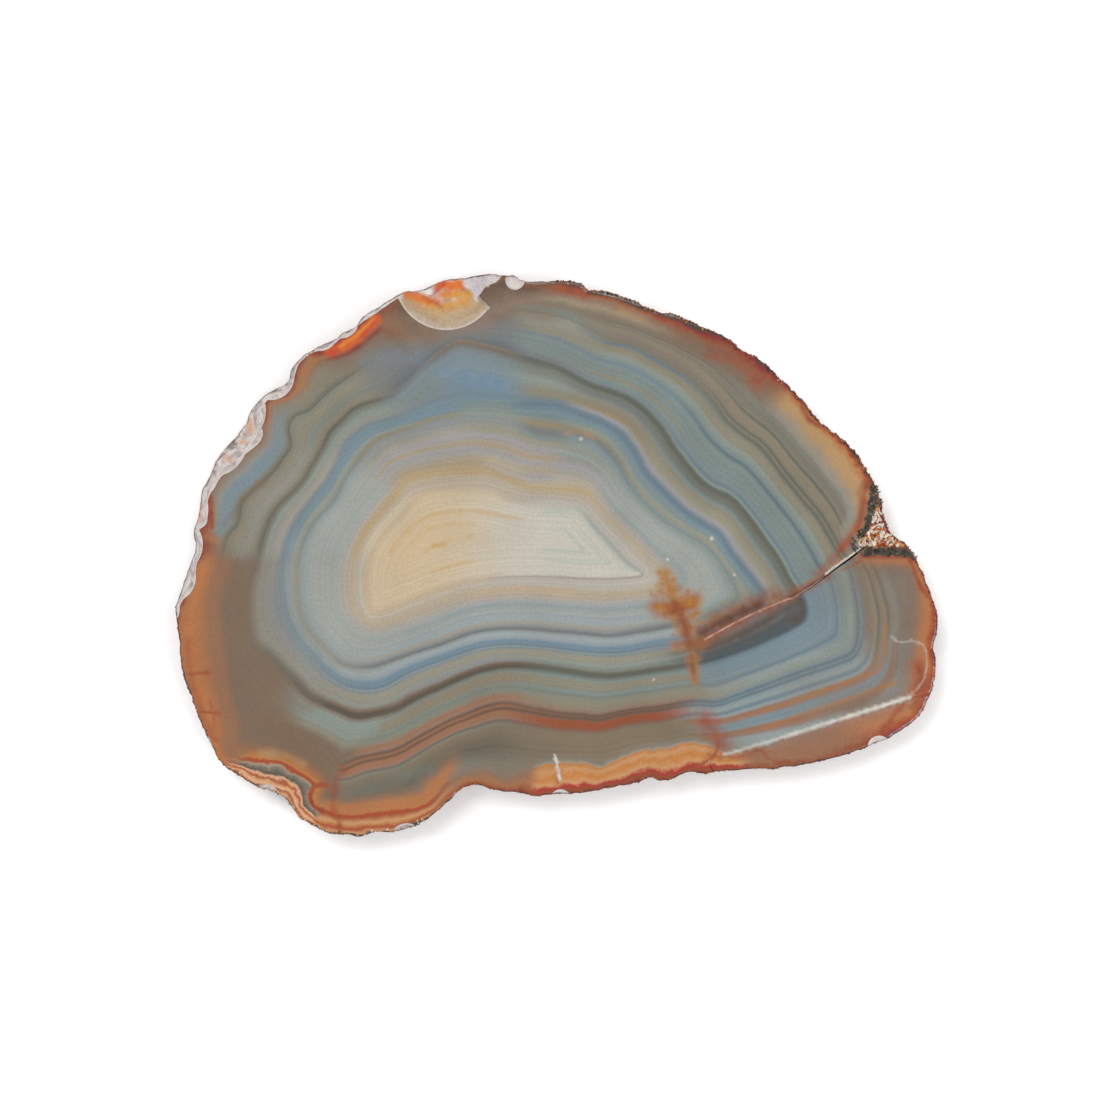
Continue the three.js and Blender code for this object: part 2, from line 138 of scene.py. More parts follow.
BAND_B = [(-39.6, -2.1), (-39.2, -0.9), (-38.5, 1.6), (-37.4, 4.1), (-36, 6.3), (-34.6, 8.1), (-32.8, 10.2),
          (-31.4, 12.7), (-29.9, 15.2), (-28.1, 16.8), (-26, 17.8), (-23.9, 18.3), (-21.2, 19.2),
          (-18.2, 20.3),
          (-15.3, 20.8), (-11, 21), (-6, 20.8), (0, 20.8), (3.6, 19.9), (7.1, 18.4), (9.3, 17), (11.1, 14.5),
          (12.5, 11.6), (14.3, 9.5), (16.4, 7.4), (18.9, 5.2), (21.4, 3.6), (23.2, 2.4), (24.6, 0.2),
          (26.4, -1.9), (28.2, -4.1), (29.6, -6.4), (28.6, -8.2), (26, -9.6), (23.5, -10.8), (21, -11.8),
          (18.6, -12.5), (17.1, -12.9), (14.3, -13.2), (10.7, -13.9), (7.1, -14.2), (3.6, -13.9), (0, -13.5),
          (-4.2, -13.1), (-7.8, -13), (-11, -13.4), (-14.6, -14.5), (-18.1, -15.7), (-21.7, -17.1),
          (-24.9, -18.9), (-27.4, -19.3), (-30.3, -18.8), (-32.8, -17.1), (-34.9, -15), (-37.1, -12.5),
          (-38.5, -10), (-39.4, -6.8)]
BAND_C = [(-36.9, -6.4), (-37, -3.2), (-36.6, 0.3), (-34.9, 4.1), (-31.7, 7.7), (-30.3, 10.6), (-28.5, 13),
          (-26.4, 15.6), (-23.9, 17), (-16.7, 18.8), (-13.1, 19.5), (-9.9, 19.4), (-6, 18.8), (-2.4, 17.7),
          (0, 17.3), (5.4, 15.6), (7.1, 14.1), (8.6, 12.4), (10, 9.9), (11.8, 7.7), (13.6, 5.9), (15.7, 4.1),
          (18.6, 2.4), (21.1, 0.9), (23.2, -1.2), (25, -4.1), (25.9, -6.4), (25.2, -7.3), (22.9, -8.2),
          (20.4, -9.5), (17.9, -10.4), (14.3, -11.1), (10.7, -11.6), (7.1, -12), (3.6, -11.6), (0, -11.3),
          (-6, -10.9), (-9.9, -11.1), (-13.1, -11.8), (-16.7, -13.2), (-20.3, -14.3), (-23.9, -15.5),
          (-26.4, -16.3), (-28.9, -16.4), (-31, -15.9), (-33.1, -13.6), (-35.3, -11.4), (-36.4, -9.3)]
BAND_D = [(-29.7, -5), (-29.4, -0.9), (-28.5, 1.6), (-27.1, 4.1), (-25.3, 6.3), (-23.5, 8.1), (-22.1, 9.9),
          (-19.9, 10.8), (-16.7, 11.3), (-13.1, 11.6), (-9.9, 11.6), (-7.8, 10.6), (-4.6, 9.7), (0, 9.3),
          (2.1, 9.1), (4.3, 8.8), (5.7, 7.2), (7.5, 4.9), (9.3, 3.1), (11.4, 0.9), (13.2, -1.2),
          (15.6, -3.6),
          (14.3, -5), (10.7, -5.7), (7.1, -5.9), (0, -5.5), (-6, -5.2), (-11, -5.7), (-14.6, -6.6),
          (-18.1, -8),
          (-21.7, -9.3), (-24.6, -10.4), (-26.7, -10.4), (-28.5, -9.3), (-29.6, -7.1)]
BAND_E = [(-26.5, -8.6), (-24, -8), (-20, -6.4), (-15, -4.7), (-10, -3.7), (-5, -3.4), (0, -3.5), (5, -3.8),
          (10, -3.6), (12.6, -3.2), (10, -1), (7.5, 1.8), (5, 4.5), (3, 6.6), (-4, 7.2), (-10, 8.6),
          (-16, 8.6),
          (-20, 7.6), (-23, 4.6), (-25.6, 1.6), (-27, -2), (-27.2, -6)]
BAND_LINES = [(0.30, BAND_R), (0.46, BAND_A), (0.56, BAND_B), (0.62, BAND_C), (0.76, BAND_D), (0.84, BAND_E)]

# How far the warm stain of the rim reaches in, as a closed line round the slice.
STAIN_FRONT = [(51.4, -2.6), (52, -5), (52.3, -8), (52, -11), (51.8, -14), (50.8, -17), (50.6, -20),
               (49.8, -21.3),
               (46, -22.5), (40, -24.4), (32, -26.9), (27.5, -28.3), (24.2, -29.2), (23.2, -28.4),
               (21, -27.5),
               (18, -27.7), (15, -28.2), (12, -28.7), (9.5, -29.4), (7.5, -30.2), (6.3, -31.1), (5.3, -30.7),
               (3, -30.2), (0, -30.3), (-3, -31), (-5, -31.9), (-7, -32.7), (-10, -31.6), (-14, -32.4),
               (-16.5, -34.2), (-18.5, -36.4), (-22, -37.4), (-26, -37.8), (-29, -38.1), (-31.4, -38.1),
               (-33.3, -37.6), (-34.8, -36.9), (-35.5, -35.4), (-35, -33.9), (-36.5, -32.4), (-38.5, -31.2),
               (-41, -30.3), (-44, -29.9), (-46.6, -29.7), (-47.9, -28.9), (-47.8, -26.5), (-48.6, -23),
               (-49.6, -18), (-50.4, -12), (-50.6, -7), (-49.6, -3), (-48.8, 0), (-49, 2.2), (-49.7, 3.2),
               (-49.5, 4.6), (-49.4, 7.6), (-48.3, 9.5), (-46.9, 11.2), (-45.2, 12.3), (-44.2, 13.6),
               (-42.4, 14.9),
               (-41.4, 16.6), (-41.3, 18.3), (-41.2, 19.6), (-40.9, 21), (-39.9, 21.5), (-38.2, 22),
               (-36.6, 23.4),
               (-35.8, 24.8), (-35.2, 26.2), (-34.2, 27.2), (-32.2, 27.9), (-30.6, 28.6), (-28, 30.2),
               (-26, 31.4),
               (-24.3, 31.2), (-21, 30.7), (-18, 31.2), (-15, 31.8), (-11, 32.6), (-8.8, 34), (-6, 35.8),
               (-3, 36.3),
               (0, 35.7), (5, 34.4), (10, 33.2), (15, 31.2), (20, 28.9), (24, 26.6), (27.5, 23.8),
               (30, 21.2),
               (33, 18.4), (36, 14.8), (39, 11.2), (41.3, 8), (42.2, 5.4), (41.2, 3.4), (41.8, 1.6),
               (43, 0.2),
               (44.4, -1.2), (47, -1.6), (50, -1.9)]

# The crack, carried on through its healed end and the plume: the bands don't match across it.
CRACK_SIDE = [(60, 0.5), (45, 1.3), (42, -0.8), (39, -3.1), (36, -5), (32, -7.2), (28, -9), (24, -11),
              (20.5, -13),
              (19.3, -12.4), (18.4, -10), (17, -7.5), (15.8, -3.4), (-4, -1), (-4, 60), (60, 60)]

# A tooth of stone that stands between the big chip and the small one.
TOOTH = [(-9.7, 35.3), (-11.2, 36.9), (-10.3, 38.2), (-9, 38.8), (-8.2, 39.6), (-7.6, 42), (-4, 42),
         (-4, 35)]

# The stone's colours, by name.
COLOURS = {
    "soot": "4B4642", "ink": "565D5F", "umber": "625A50", "pine": "62675F", "bark": "6A6458",
    "dark_olive": "6D6B61",
    "dark_sage": "71756C", "chestnut": "6B574B", "brown": "7D6B5D", "brick": "8A3F2A", "crimson": "A8442C",
    "rust_brown": "86604E", "rust": "93563F", "ember": "A4542F", "clay": "976F58", "copper": "A97250",
    "drab": "827462", "russet": "86684F", "shadow": "6C7174",
    "parchment": "C2B8A4", "blush": "DDAE8C", "fallow": "8F7C69", "earth": "7C6A59",
    "tawny": "B4774F", "apricot": "C08049", "peach": "C8966C", "amber": "B4926A", "fawn": "937768",
    "pink_brown": "92796C", "cocoa": "857A6F", "olive": "7B786C", "moss": "827D70", "olive_tan": "8A806F",
    "khaki": "8B8676", "straw": "959180", "bronze": "93866C", "sage": "7E8279", "sea_grey": "7E8986",
    "lichen": "8A938B", "pewter": "7B858A", "lead": "787B7B", "ash": "8B8E8D", "dove": "908F86",
    "stone": "9DA19B",
    "mauve_grey": "9C9A9B", "steel": "778991", "blue": "758997", "slate": "6B7C88",
    "dark_slate": "62727A", "cloud": "97A0A0", "haze": "989EA1", "mist": "919A98", "blue_grey": "7E8C91",
    "clay_sand": "ACA297", "sand": "B1A697", "biscuit": "B6A48E", "wheat": "AEA28B", "tan": "A4957E",
    "honey": "AE9A7A", "oat": "B3ADA3", "pale_green": "B5B7AB", "taupe": "9D978C", "linen": "C3BEB2",
    "shell": "D2C2B0",
}

# How the bands run in each part of the stone: the band value and the colour there, outside in.
EAST_OUTER = [(0, "fallow"), (0.1, "fallow"), (0.13, "cocoa"), (0.16, "sage"), (0.19, "olive"),
              (0.212, "moss"), (0.221, "pine"), (0.232, "olive_tan"), (0.262, "olive_tan"), (0.275, "olive"),
              (0.284, "pine"), (0.294, "olive_tan"), (0.304, "pine"), (0.315, "khaki"), (0.335, "khaki"),
              (0.345, "lichen"), (0.36, "sea_grey"), (0.368, "dark_slate"), (0.376, "sea_grey"),
              (0.42, "sea_grey"),
              (0.428, "pewter"), (0.434, "sea_grey"), (0.441, "slate"), (0.449, "lichen"), (0.456, "pine"),
              (0.466, "dark_olive"), (0.478, "dark_sage"), (0.49, "sea_grey"), (0.5, "khaki")]
EAST_INNER = [(0.5, "khaki"), (0.525, "straw"), (0.538, "mauve_grey"), (0.546, "pewter"), (0.555, "slate"),
              (0.566, "steel"), (0.575, "blue_grey"), (0.588, "lichen"), (0.603, "straw"),
              (0.612, "blue_grey"),
              (0.622, "lichen"), (0.636, "mist"), (0.652, "stone"), (0.7, "stone"), (0.715, "mist"),
              (0.74, "clay_sand"), (0.76, "wheat"), (0.78, "sand"), (0.8, "oat"), (0.83, "oat"),
              (0.845, "stone"),
              (0.858, "pale_green"), (0.875, "linen"), (0.893, "pale_green"), (0.91, "linen"),
              (0.93, "pale_green"),
              (0.945, "linen"), (1, "linen")]
NORTH_EAST_OUTER = [(0, "drab"), (0.15, "drab"), (0.168, "olive"), (0.178, "dark_olive"),
                    (0.19, "olive_tan"),
                    (0.205, "olive"), (0.22, "olive_tan"), (0.25, "olive_tan"), (0.265, "cocoa"),
                    (0.29, "cocoa"),
                    (0.3, "olive"), (0.309, "olive"), (0.316, "slate"), (0.324, "olive_tan"),
                    (0.336, "khaki"),
                    (0.352, "lichen"), (0.365, "sea_grey"), (0.372, "steel"), (0.385, "sea_grey"),
                    (0.405, "sea_grey"), (0.416, "khaki"), (0.43, "sea_grey"), (0.444, "pewter"),
                    (0.45, "dark_sage"), (0.456, "pine"), (0.462, "pine"), (0.471, "dark_sage"),
                    (0.484, "lead"),
                    (0.495, "sage"), (0.5, "khaki")]
NORTH_EAST_INNER = [(0.5, "khaki"), (0.518, "olive_tan"), (0.53, "bronze"), (0.54, "mauve_grey"),
                    (0.55, "pewter"), (0.56, "slate"), (0.575, "steel"), (0.588, "lichen"), (0.6, "khaki"),
                    (0.61, "lead"), (0.62, "blue_grey"), (0.64, "lichen"), (0.657, "dove"), (0.667, "mist"),
                    (0.68, "dove"), (0.7, "mauve_grey"), (0.72, "taupe"), (0.735, "clay_sand"),
                    (0.75, "wheat"),
                    (0.768, "honey"), (0.785, "wheat"), (0.81, "clay_sand"), (0.84, "oat"),
                    (0.87, "pale_green"),
                    (0.9, "linen"), (1, "linen")]
UPPER_OUTER = [(0, "drab"), (0.05, "drab"), (0.2, "drab"), (0.25, "sage"), (0.3, "sage"), (0.31, "dove"),
               (0.36, "khaki"), (0.37, "pewter"), (0.38, "sea_grey"), (0.42, "sea_grey"), (0.445, "lead"),
               (0.456, "pine"), (0.465, "dark_sage"), (0.48, "sage"), (0.5, "lichen")]
UPPER_INNER = [(0.5, "lichen"), (0.52, "khaki"), (0.531, "khaki"), (0.54, "pewter"), (0.55, "slate"),
               (0.57, "steel"), (0.59, "sea_grey"), (0.605, "bronze"), (0.615, "khaki"), (0.625, "lead"),
               (0.64, "sea_grey"), (0.65, "straw"), (0.67, "mauve_grey"), (0.69, "tan"),
               (0.705, "mauve_grey"),
               (0.72, "tan"), (0.74, "mauve_grey"), (0.755, "wheat"), (0.77, "honey"), (0.79, "wheat"),
               (0.81, "clay_sand"), (0.84, "oat"), (0.87, "linen"), (1, "linen")]
NORTH_OUTER = [(0, "cocoa"), (0.15, "pink_brown"), (0.24, "moss"), (0.3, "olive"), (0.315, "dark_sage"),
               (0.33, "shadow"), (0.36, "lead"), (0.41, "lead"), (0.44, "shadow"), (0.453, "cocoa"),
               (0.46, "brown"), (0.468, "lead"), (0.48, "blue_grey"), (0.5, "blue_grey")]
NORTH_INNER = [(0.5, "blue_grey"), (0.52, "blue"), (0.545, "steel"), (0.558, "sea_grey"), (0.6, "lichen"),
               (0.625, "ash"), (0.64, "dove"), (0.652, "straw"), (0.666, "mauve_grey"), (0.69, "tan"),
               (0.705, "mauve_grey"), (0.728, "wheat"), (0.742, "clay_sand"), (0.757, "honey"),
               (0.772, "wheat"), (0.79, "sand"), (0.84, "sand"), (0.87, "linen"), (1, "linen")]
CHIP_SIDE_OUTER = [(0, "brown"), (0.1, "pink_brown"), (0.18, "pink_brown"), (0.25, "moss"), (0.28, "olive"),
                   (0.3, "olive"), (0.33, "lead"), (0.38, "lead"), (0.44, "shadow"), (0.455, "lead"),
                   (0.475, "blue_grey"), (0.5, "sea_grey")]
CHIP_SIDE_INNER = [(0.5, "sea_grey"), (0.53, "pewter"), (0.552, "steel"), (0.57, "blue"),
                   (0.586, "sea_grey"),
                   (0.6, "khaki"), (0.62, "ash"), (0.635, "ash"), (0.65, "taupe"), (0.67, "mauve_grey"),
                   (0.686, "tan"), (0.7, "mauve_grey"), (0.717, "taupe"), (0.728, "tan"), (0.74, "tan"),
                   (0.755, "honey"), (0.77, "honey"), (0.785, "sand"), (0.82, "sand"), (0.85, "parchment"),
                   (0.9, "linen"), (1, "linen")]
NORTH_WEST_OUTER = [(0, "fawn"), (0.07, "cocoa"), (0.14, "olive_tan"), (0.24, "moss"), (0.285, "dark_olive"),
                    (0.3, "sage"), (0.325, "khaki"), (0.36, "khaki"), (0.4, "sage"), (0.44, "olive_tan"),
                    (0.452, "olive"), (0.46, "bark"), (0.468, "dark_olive"), (0.48, "sage"), (0.5, "lichen")]
NORTH_WEST_INNER = [(0.5, "lichen"), (0.522, "dove"), (0.537, "pewter"), (0.55, "steel"), (0.568, "steel"),
                    (0.582, "blue_grey"), (0.596, "lichen"), (0.607, "khaki"), (0.62, "khaki"),
                    (0.631, "ash"),
                    (0.647, "dove"), (0.661, "taupe"), (0.676, "mauve_grey"), (0.69, "tan"),
                    (0.702, "mauve_grey"),
                    (0.722, "taupe"), (0.737, "tan"), (0.75, "honey"), (0.761, "honey"), (0.776, "wheat"),
                    (0.8, "clay_sand"), (0.825, "sand"), (0.845, "parchment"), (0.88, "linen"),
                    (0.9, "linen"), (1, "linen")]
WEST_CORNER_OUTER = [(0, "sage"), (0.08, "dove"), (0.14, "blue_grey"), (0.21, "blue_grey"), (0.25, "moss"),
                     (0.285, "dark_olive"), (0.3, "moss"), (0.33, "khaki"), (0.4, "dove"), (0.43, "khaki"),
                     (0.452, "olive"), (0.464, "dark_olive"), (0.476, "olive"), (0.488, "lichen"),
                     (0.5, "dove")]
WEST_CORNER_INNER = [(0.5, "dove"), (0.532, "taupe"), (0.55, "pewter"), (0.564, "steel"), (0.576, "steel"),
                     (0.59, "lichen"), (0.604, "dove"), (0.615, "sea_grey"), (0.63, "mist"), (0.65, "stone"),
                     (0.7, "stone"), (0.73, "stone"), (0.745, "clay_sand"), (0.76, "honey"),
                     (0.775, "honey"),
                     (0.79, "sand"), (0.82, "parchment"), (0.84, "sand"), (0.86, "linen"), (0.9, "linen"),
                     (1, "linen")]
WEST_OUTER = [(0, "russet"), (0.2, "russet"), (0.34, "earth"), (0.44, "earth"), (0.455, "dark_olive"),
              (0.47, "olive"), (0.485, "dove"), (0.5, "dove")]
WEST_INNER = [(0.5, "dove"), (0.53, "ash"), (0.55, "blue_grey"), (0.565, "blue_grey"), (0.58, "mist"),
              (0.61, "dove"),
              (0.63, "mist"), (0.66, "stone"), (0.72, "stone"), (0.745, "clay_sand"), (0.765, "wheat"),
              (0.785, "sand"), (0.81, "oat"), (0.835, "sand"), (0.86, "linen"), (0.9, "linen"), (1, "linen")]
SOUTH_WEST_OUTER = [(0, "russet"), (0.2, "russet"), (0.26, "earth"), (0.3, "earth"), (0.335, "brown"),
                    (0.36, "khaki"),
                    (0.39, "lichen"), (0.43, "lichen"), (0.443, "cocoa"), (0.452, "umber"), (0.465, "umber"),
                    (0.475, "brown"), (0.487, "dove"), (0.5, "dove")]
SOUTH_LEFT_OUTER = [(0, "drab"), (0.1, "olive"), (0.16, "bark"), (0.225, "drab"), (0.238, "moss"),
                    (0.247, "dark_olive"),
                    (0.256, "fawn"), (0.27, "clay"), (0.281, "clay"), (0.289, "chestnut"), (0.299, "clay"),
                    (0.31, "chestnut"), (0.321, "fawn"), (0.335, "clay"), (0.35, "olive_tan"),
                    (0.365, "sage"),
                    (0.383, "sage"), (0.395, "olive_tan"), (0.42, "olive_tan"), (0.432, "sage"),
                    (0.439, "dark_sage"), (0.446, "umber"), (0.456, "umber"), (0.468, "brown"),
                    (0.48, "ash"),
                    (0.5, "dove")]
SOUTH_RIGHT_OUTER = [(0, "cocoa"), (0.1, "drab"), (0.228, "drab"), (0.238, "brown"), (0.246, "rust_brown"),
                     (0.256, "rust"), (0.275, "rust"), (0.282, "rust_brown"), (0.289, "umber"),
                     (0.296, "rust_brown"), (0.304, "umber"), (0.314, "fawn"), (0.328, "olive_tan"),
                     (0.35, "khaki"), (0.37, "sage"), (0.385, "sea_grey"), (0.4, "khaki"), (0.42, "khaki"),
                     (0.433, "sea_grey"), (0.443, "dark_sage"), (0.45, "pine"), (0.461, "bark"),
                     (0.474, "sage"),
                     (0.49, "lichen"), (0.5, "dove")]
SOUTH_INNER = [(0.5, "dove"), (0.518, "straw"), (0.53, "dove"), (0.536, "pewter"), (0.541, "mist"),
               (0.548, "slate"), (0.556, "steel"), (0.57, "blue"), (0.582, "haze"), (0.6, "cloud"),
               (0.609, "ash"), (0.614, "lead"), (0.62, "lead"), (0.629, "ash"), (0.641, "taupe"),
               (0.652, "cloud"), (0.672, "haze"), (0.682, "stone"), (0.702, "mist"), (0.712, "haze"),
               (0.73, "clay_sand"), (0.75, "biscuit"), (0.77, "biscuit"), (0.785, "oat"), (0.826, "oat"),
               (0.834, "taupe"), (0.842, "linen"), (1, "linen")]
SOUTH_EAST_OUTER = [(0, "mist"), (0.13, "mist"), (0.145, "fawn"), (0.155, "clay"), (0.163, "fawn"),
                    (0.172, "blue_grey"), (0.195, "blue_grey"), (0.207, "fawn"), (0.216, "clay"),
                    (0.224, "fawn"),
                    (0.232, "mist"), (0.24, "blue_grey"), (0.245, "slate"), (0.251, "blue_grey"),
                    (0.262, "mist"), (0.277, "blue_grey"), (0.284, "dark_slate"), (0.291, "blue_grey"),
                    (0.299, "dark_slate"), (0.307, "blue_grey"), (0.318, "lichen"), (0.347, "mist"),
                    (0.357, "blue_grey"), (0.363, "slate"), (0.37, "blue_grey"), (0.43, "steel"),
                    (0.44, "pewter"), (0.449, "slate"), (0.458, "ink"), (0.49, "ink"), (0.5, "lead")]
SOUTH_EAST_INNER = [(0.5, "lead"), (0.512, "ink"), (0.53, "lead"), (0.545, "slate"), (0.556, "steel"),
                    (0.572, "blue"), (0.584, "haze"), (0.602, "cloud"), (0.611, "ash"), (0.616, "lead"),
                    (0.626, "lead"), (0.636, "ash"), (0.65, "stone"), (0.668, "haze"), (0.685, "stone"),
                    (0.703, "mist"), (0.716, "haze"), (0.733, "clay_sand"), (0.757, "wheat"), (0.79, "oat"),
                    (0.826, "oat"), (0.836, "taupe"), (0.845, "linen"), (1, "linen")]
LOBE_OUTER = [(0, "olive_tan"), (0.1, "cocoa"), (0.13, "drab"), (0.145, "lead"), (0.16, "khaki"),
              (0.18, "olive"),
              (0.19, "pine"), (0.2, "olive_tan"), (0.217, "drab"), (0.225, "pine"), (0.234, "olive_tan"),
              (0.262, "drab"), (0.276, "olive"), (0.284, "slate"), (0.292, "khaki"), (0.302, "dark_slate"),
              (0.311, "sea_grey"), (0.32, "lichen"), (0.347, "sea_grey"),
              (0.357, "blue_grey"), (0.363, "slate"), (0.37, "blue_grey"), (0.43, "steel"),
              (0.44, "blue_grey"),
              (0.449, "slate"), (0.458, "ink"), (0.49, "ink"), (0.5, "lead")]
# The sectors in turn from the east: where each starts, in degrees, how wide the change is, how much
# further on it starts inside the outermost band, and the two ramps.
SECTORS = [(42, 30, 0, NORTH_EAST_OUTER, NORTH_EAST_INNER), (74, 14, 0, UPPER_OUTER, UPPER_INNER),
           (94, 14, 0, NORTH_OUTER, NORTH_INNER), (115, 14, 0, CHIP_SIDE_OUTER, CHIP_SIDE_INNER),
           (131, 14, 0, NORTH_WEST_OUTER, NORTH_WEST_INNER), (152, 14, 0, WEST_CORNER_OUTER,
                                                              WEST_CORNER_INNER),
           (180, 10, 0, WEST_OUTER, WEST_INNER), (211, 14, 0, SOUTH_WEST_OUTER, SOUTH_INNER),
           (228, 5, 0, SOUTH_LEFT_OUTER, SOUTH_INNER), (268, 30, 0, SOUTH_RIGHT_OUTER, SOUTH_INNER),
           (316, 14, 10, SOUTH_EAST_OUTER, SOUTH_EAST_INNER)]
SECTOR_MIDDLE = (-4.0, -1.0)

# How the rim is stained. The first number goes from 0 at the rim to 1 at the stain's front and on to
# 2 far inside it, and the last one is how much the colour covers the bands.
RIM_EAST = [(0, "soot", 0.95), (0.08, "brick", 1), (0.18, "tawny", 1), (0.36, "amber", 1), (0.6, "amber",
                                                                                            0.9),
            (0.8, "tan", 0.75), (1, "taupe", 0.5), (1.15, "cocoa", 0.35), (1.35, "cocoa", 0)]
RIM_NORTH_EAST = [(0, "soot", 0.9), (0.12, "brick", 1), (0.3, "rust", 0.85), (0.5, "rust_brown", 0.75),
                  (0.8, "brown", 0.6), (1, "rust_brown", 0.4), (1.3, "cocoa", 0.15), (1.45, "cocoa", 0)]
RIM_UPPER = [(0, "soot", 0.9), (0.12, "rust", 1), (0.28, "clay", 0.9), (0.45, "fawn", 0.85),
             (0.7, "tan", 0.7),
             (1, "cocoa", 0.5), (1.25, "cocoa", 0)]
RIM_NORTH = [(0, "rust_brown", 1), (0.25, "chestnut", 0.95), (0.6, "brown", 0.9), (1, "pink_brown", 0.7),
             (1.3, "cocoa", 0.3), (1.5, "cocoa", 0)]
RIM_FLAME = [(0, "brick", 1), (0.3, "rust", 1), (0.55, "clay", 1), (0.9, "rust_brown", 0.9), (1.1, "brown",
                                                                                              0.8),
             (1.4, "brown", 0.5), (1.6, "pink_brown", 0)]
RIM_NORTH_WEST = [(0, "brick", 1), (0.3, "rust_brown", 0.95), (0.7, "copper", 0.9), (1, "clay", 0.6),
                  (1.3, "olive_tan", 0)]
RIM_WEST_CORNER = [(0, "rust_brown", 0.8), (0.4, "clay", 0.6), (1, "fawn", 0.35), (1.2, "moss", 0)]
RIM_WEDGE = [(0, "brick", 1), (0.4, "rust", 0.95), (1, "clay", 0.7), (1.25, "moss", 0.2), (1.4, "moss", 0)]
RIM_WEST = [(0, "rust", 0.9), (0.15, "copper", 1), (0.45, "tawny", 1), (0.8, "copper", 0.95),
            (1.1, "clay", 0.9),
            (1.35, "clay", 0.78), (1.5, "brown", 0.75), (1.64, "brown", 0.55), (1.86, "cocoa", 0)]
RIM_CORNER = [(0, "blush", 1), (0.1, "peach", 1), (0.18, "ember", 1), (0.27, "blush", 1), (0.36, "peach", 1),
              (0.44, "ember", 1), (0.54, "blush", 1), (0.62, "umber", 1), (0.8, "cocoa", 1),
              (0.87, "tan", 1),
              (0.94, "ember", 1), (1.06, "ember", 1), (1.13, "apricot", 0.85), (1.3, "copper", 0.7),
              (1.45, "brown", 0.5), (1.65, "brown", 0)]
RIM_SOUTH_WEST = [(0, "shell", 1), (0.1, "soot", 1), (0.2, "peach", 1), (0.38, "ember", 1), (0.5, "tawny",
                                                                                             1),
                  (0.66, "peach", 1), (0.84, "copper", 1), (0.94, "ember", 1), (1.05, "ember", 1),
                  (1.12, "tawny", 1), (1.36, "tawny", 0.85), (1.48, "clay", 0.5), (1.6, "olive", 0)]
RIM_SOUTH = [(0, "brick", 1), (0.2, "rust", 1), (0.5, "copper", 0.85), (0.9, "clay", 0.65),
             (1.1, "fawn", 0.4),
             (1.45, "cocoa", 0)]
RIM_CRESCENTS = [(0, "brick", 1), (0.16, "rust", 1), (0.28, "crimson", 1), (0.4, "peach", 1),
                 (0.6, "apricot", 1),
                 (0.78, "peach", 0.95), (0.92, "apricot", 0.9), (1, "clay_sand", 0.5), (1.08, "dove", 0.35),
                 (1.3, "dove", 0)]
RIM_LEDGE = [(0, "rust_brown", 1), (0.1, "rust", 1), (0.3, "clay", 1), (0.6, "clay", 1), (0.97, "fawn", 1),
             (1.03, "ash", 0)]
RIM_LOBE = [(0, "soot", 0.9), (0.1, "brick", 0.95), (0.25, "ember", 1), (0.5, "tawny", 0.95),
            (0.85, "copper", 0.85),
            (1, "clay", 0.8), (1.3, "brown", 0.6), (1.6, "cocoa", 0.35), (1.8, "cocoa", 0)]
RIM_SECTORS = [(33, 6, RIM_NORTH_EAST), (60, 14, RIM_UPPER), (86, 10, RIM_NORTH), (119, 4, RIM_FLAME),
               (137, 8, RIM_NORTH_WEST), (152, 8, RIM_WEST_CORNER), (169, 5, RIM_WEDGE), (179, 4, RIM_WEST),
               (214.5, 3, RIM_CORNER), (230.5, 2, RIM_SOUTH_WEST), (250.5, 5, RIM_SOUTH),
               (271, 5, RIM_CRESCENTS),
               (317, 3, RIM_LEDGE), (342, 5, RIM_LOBE)]
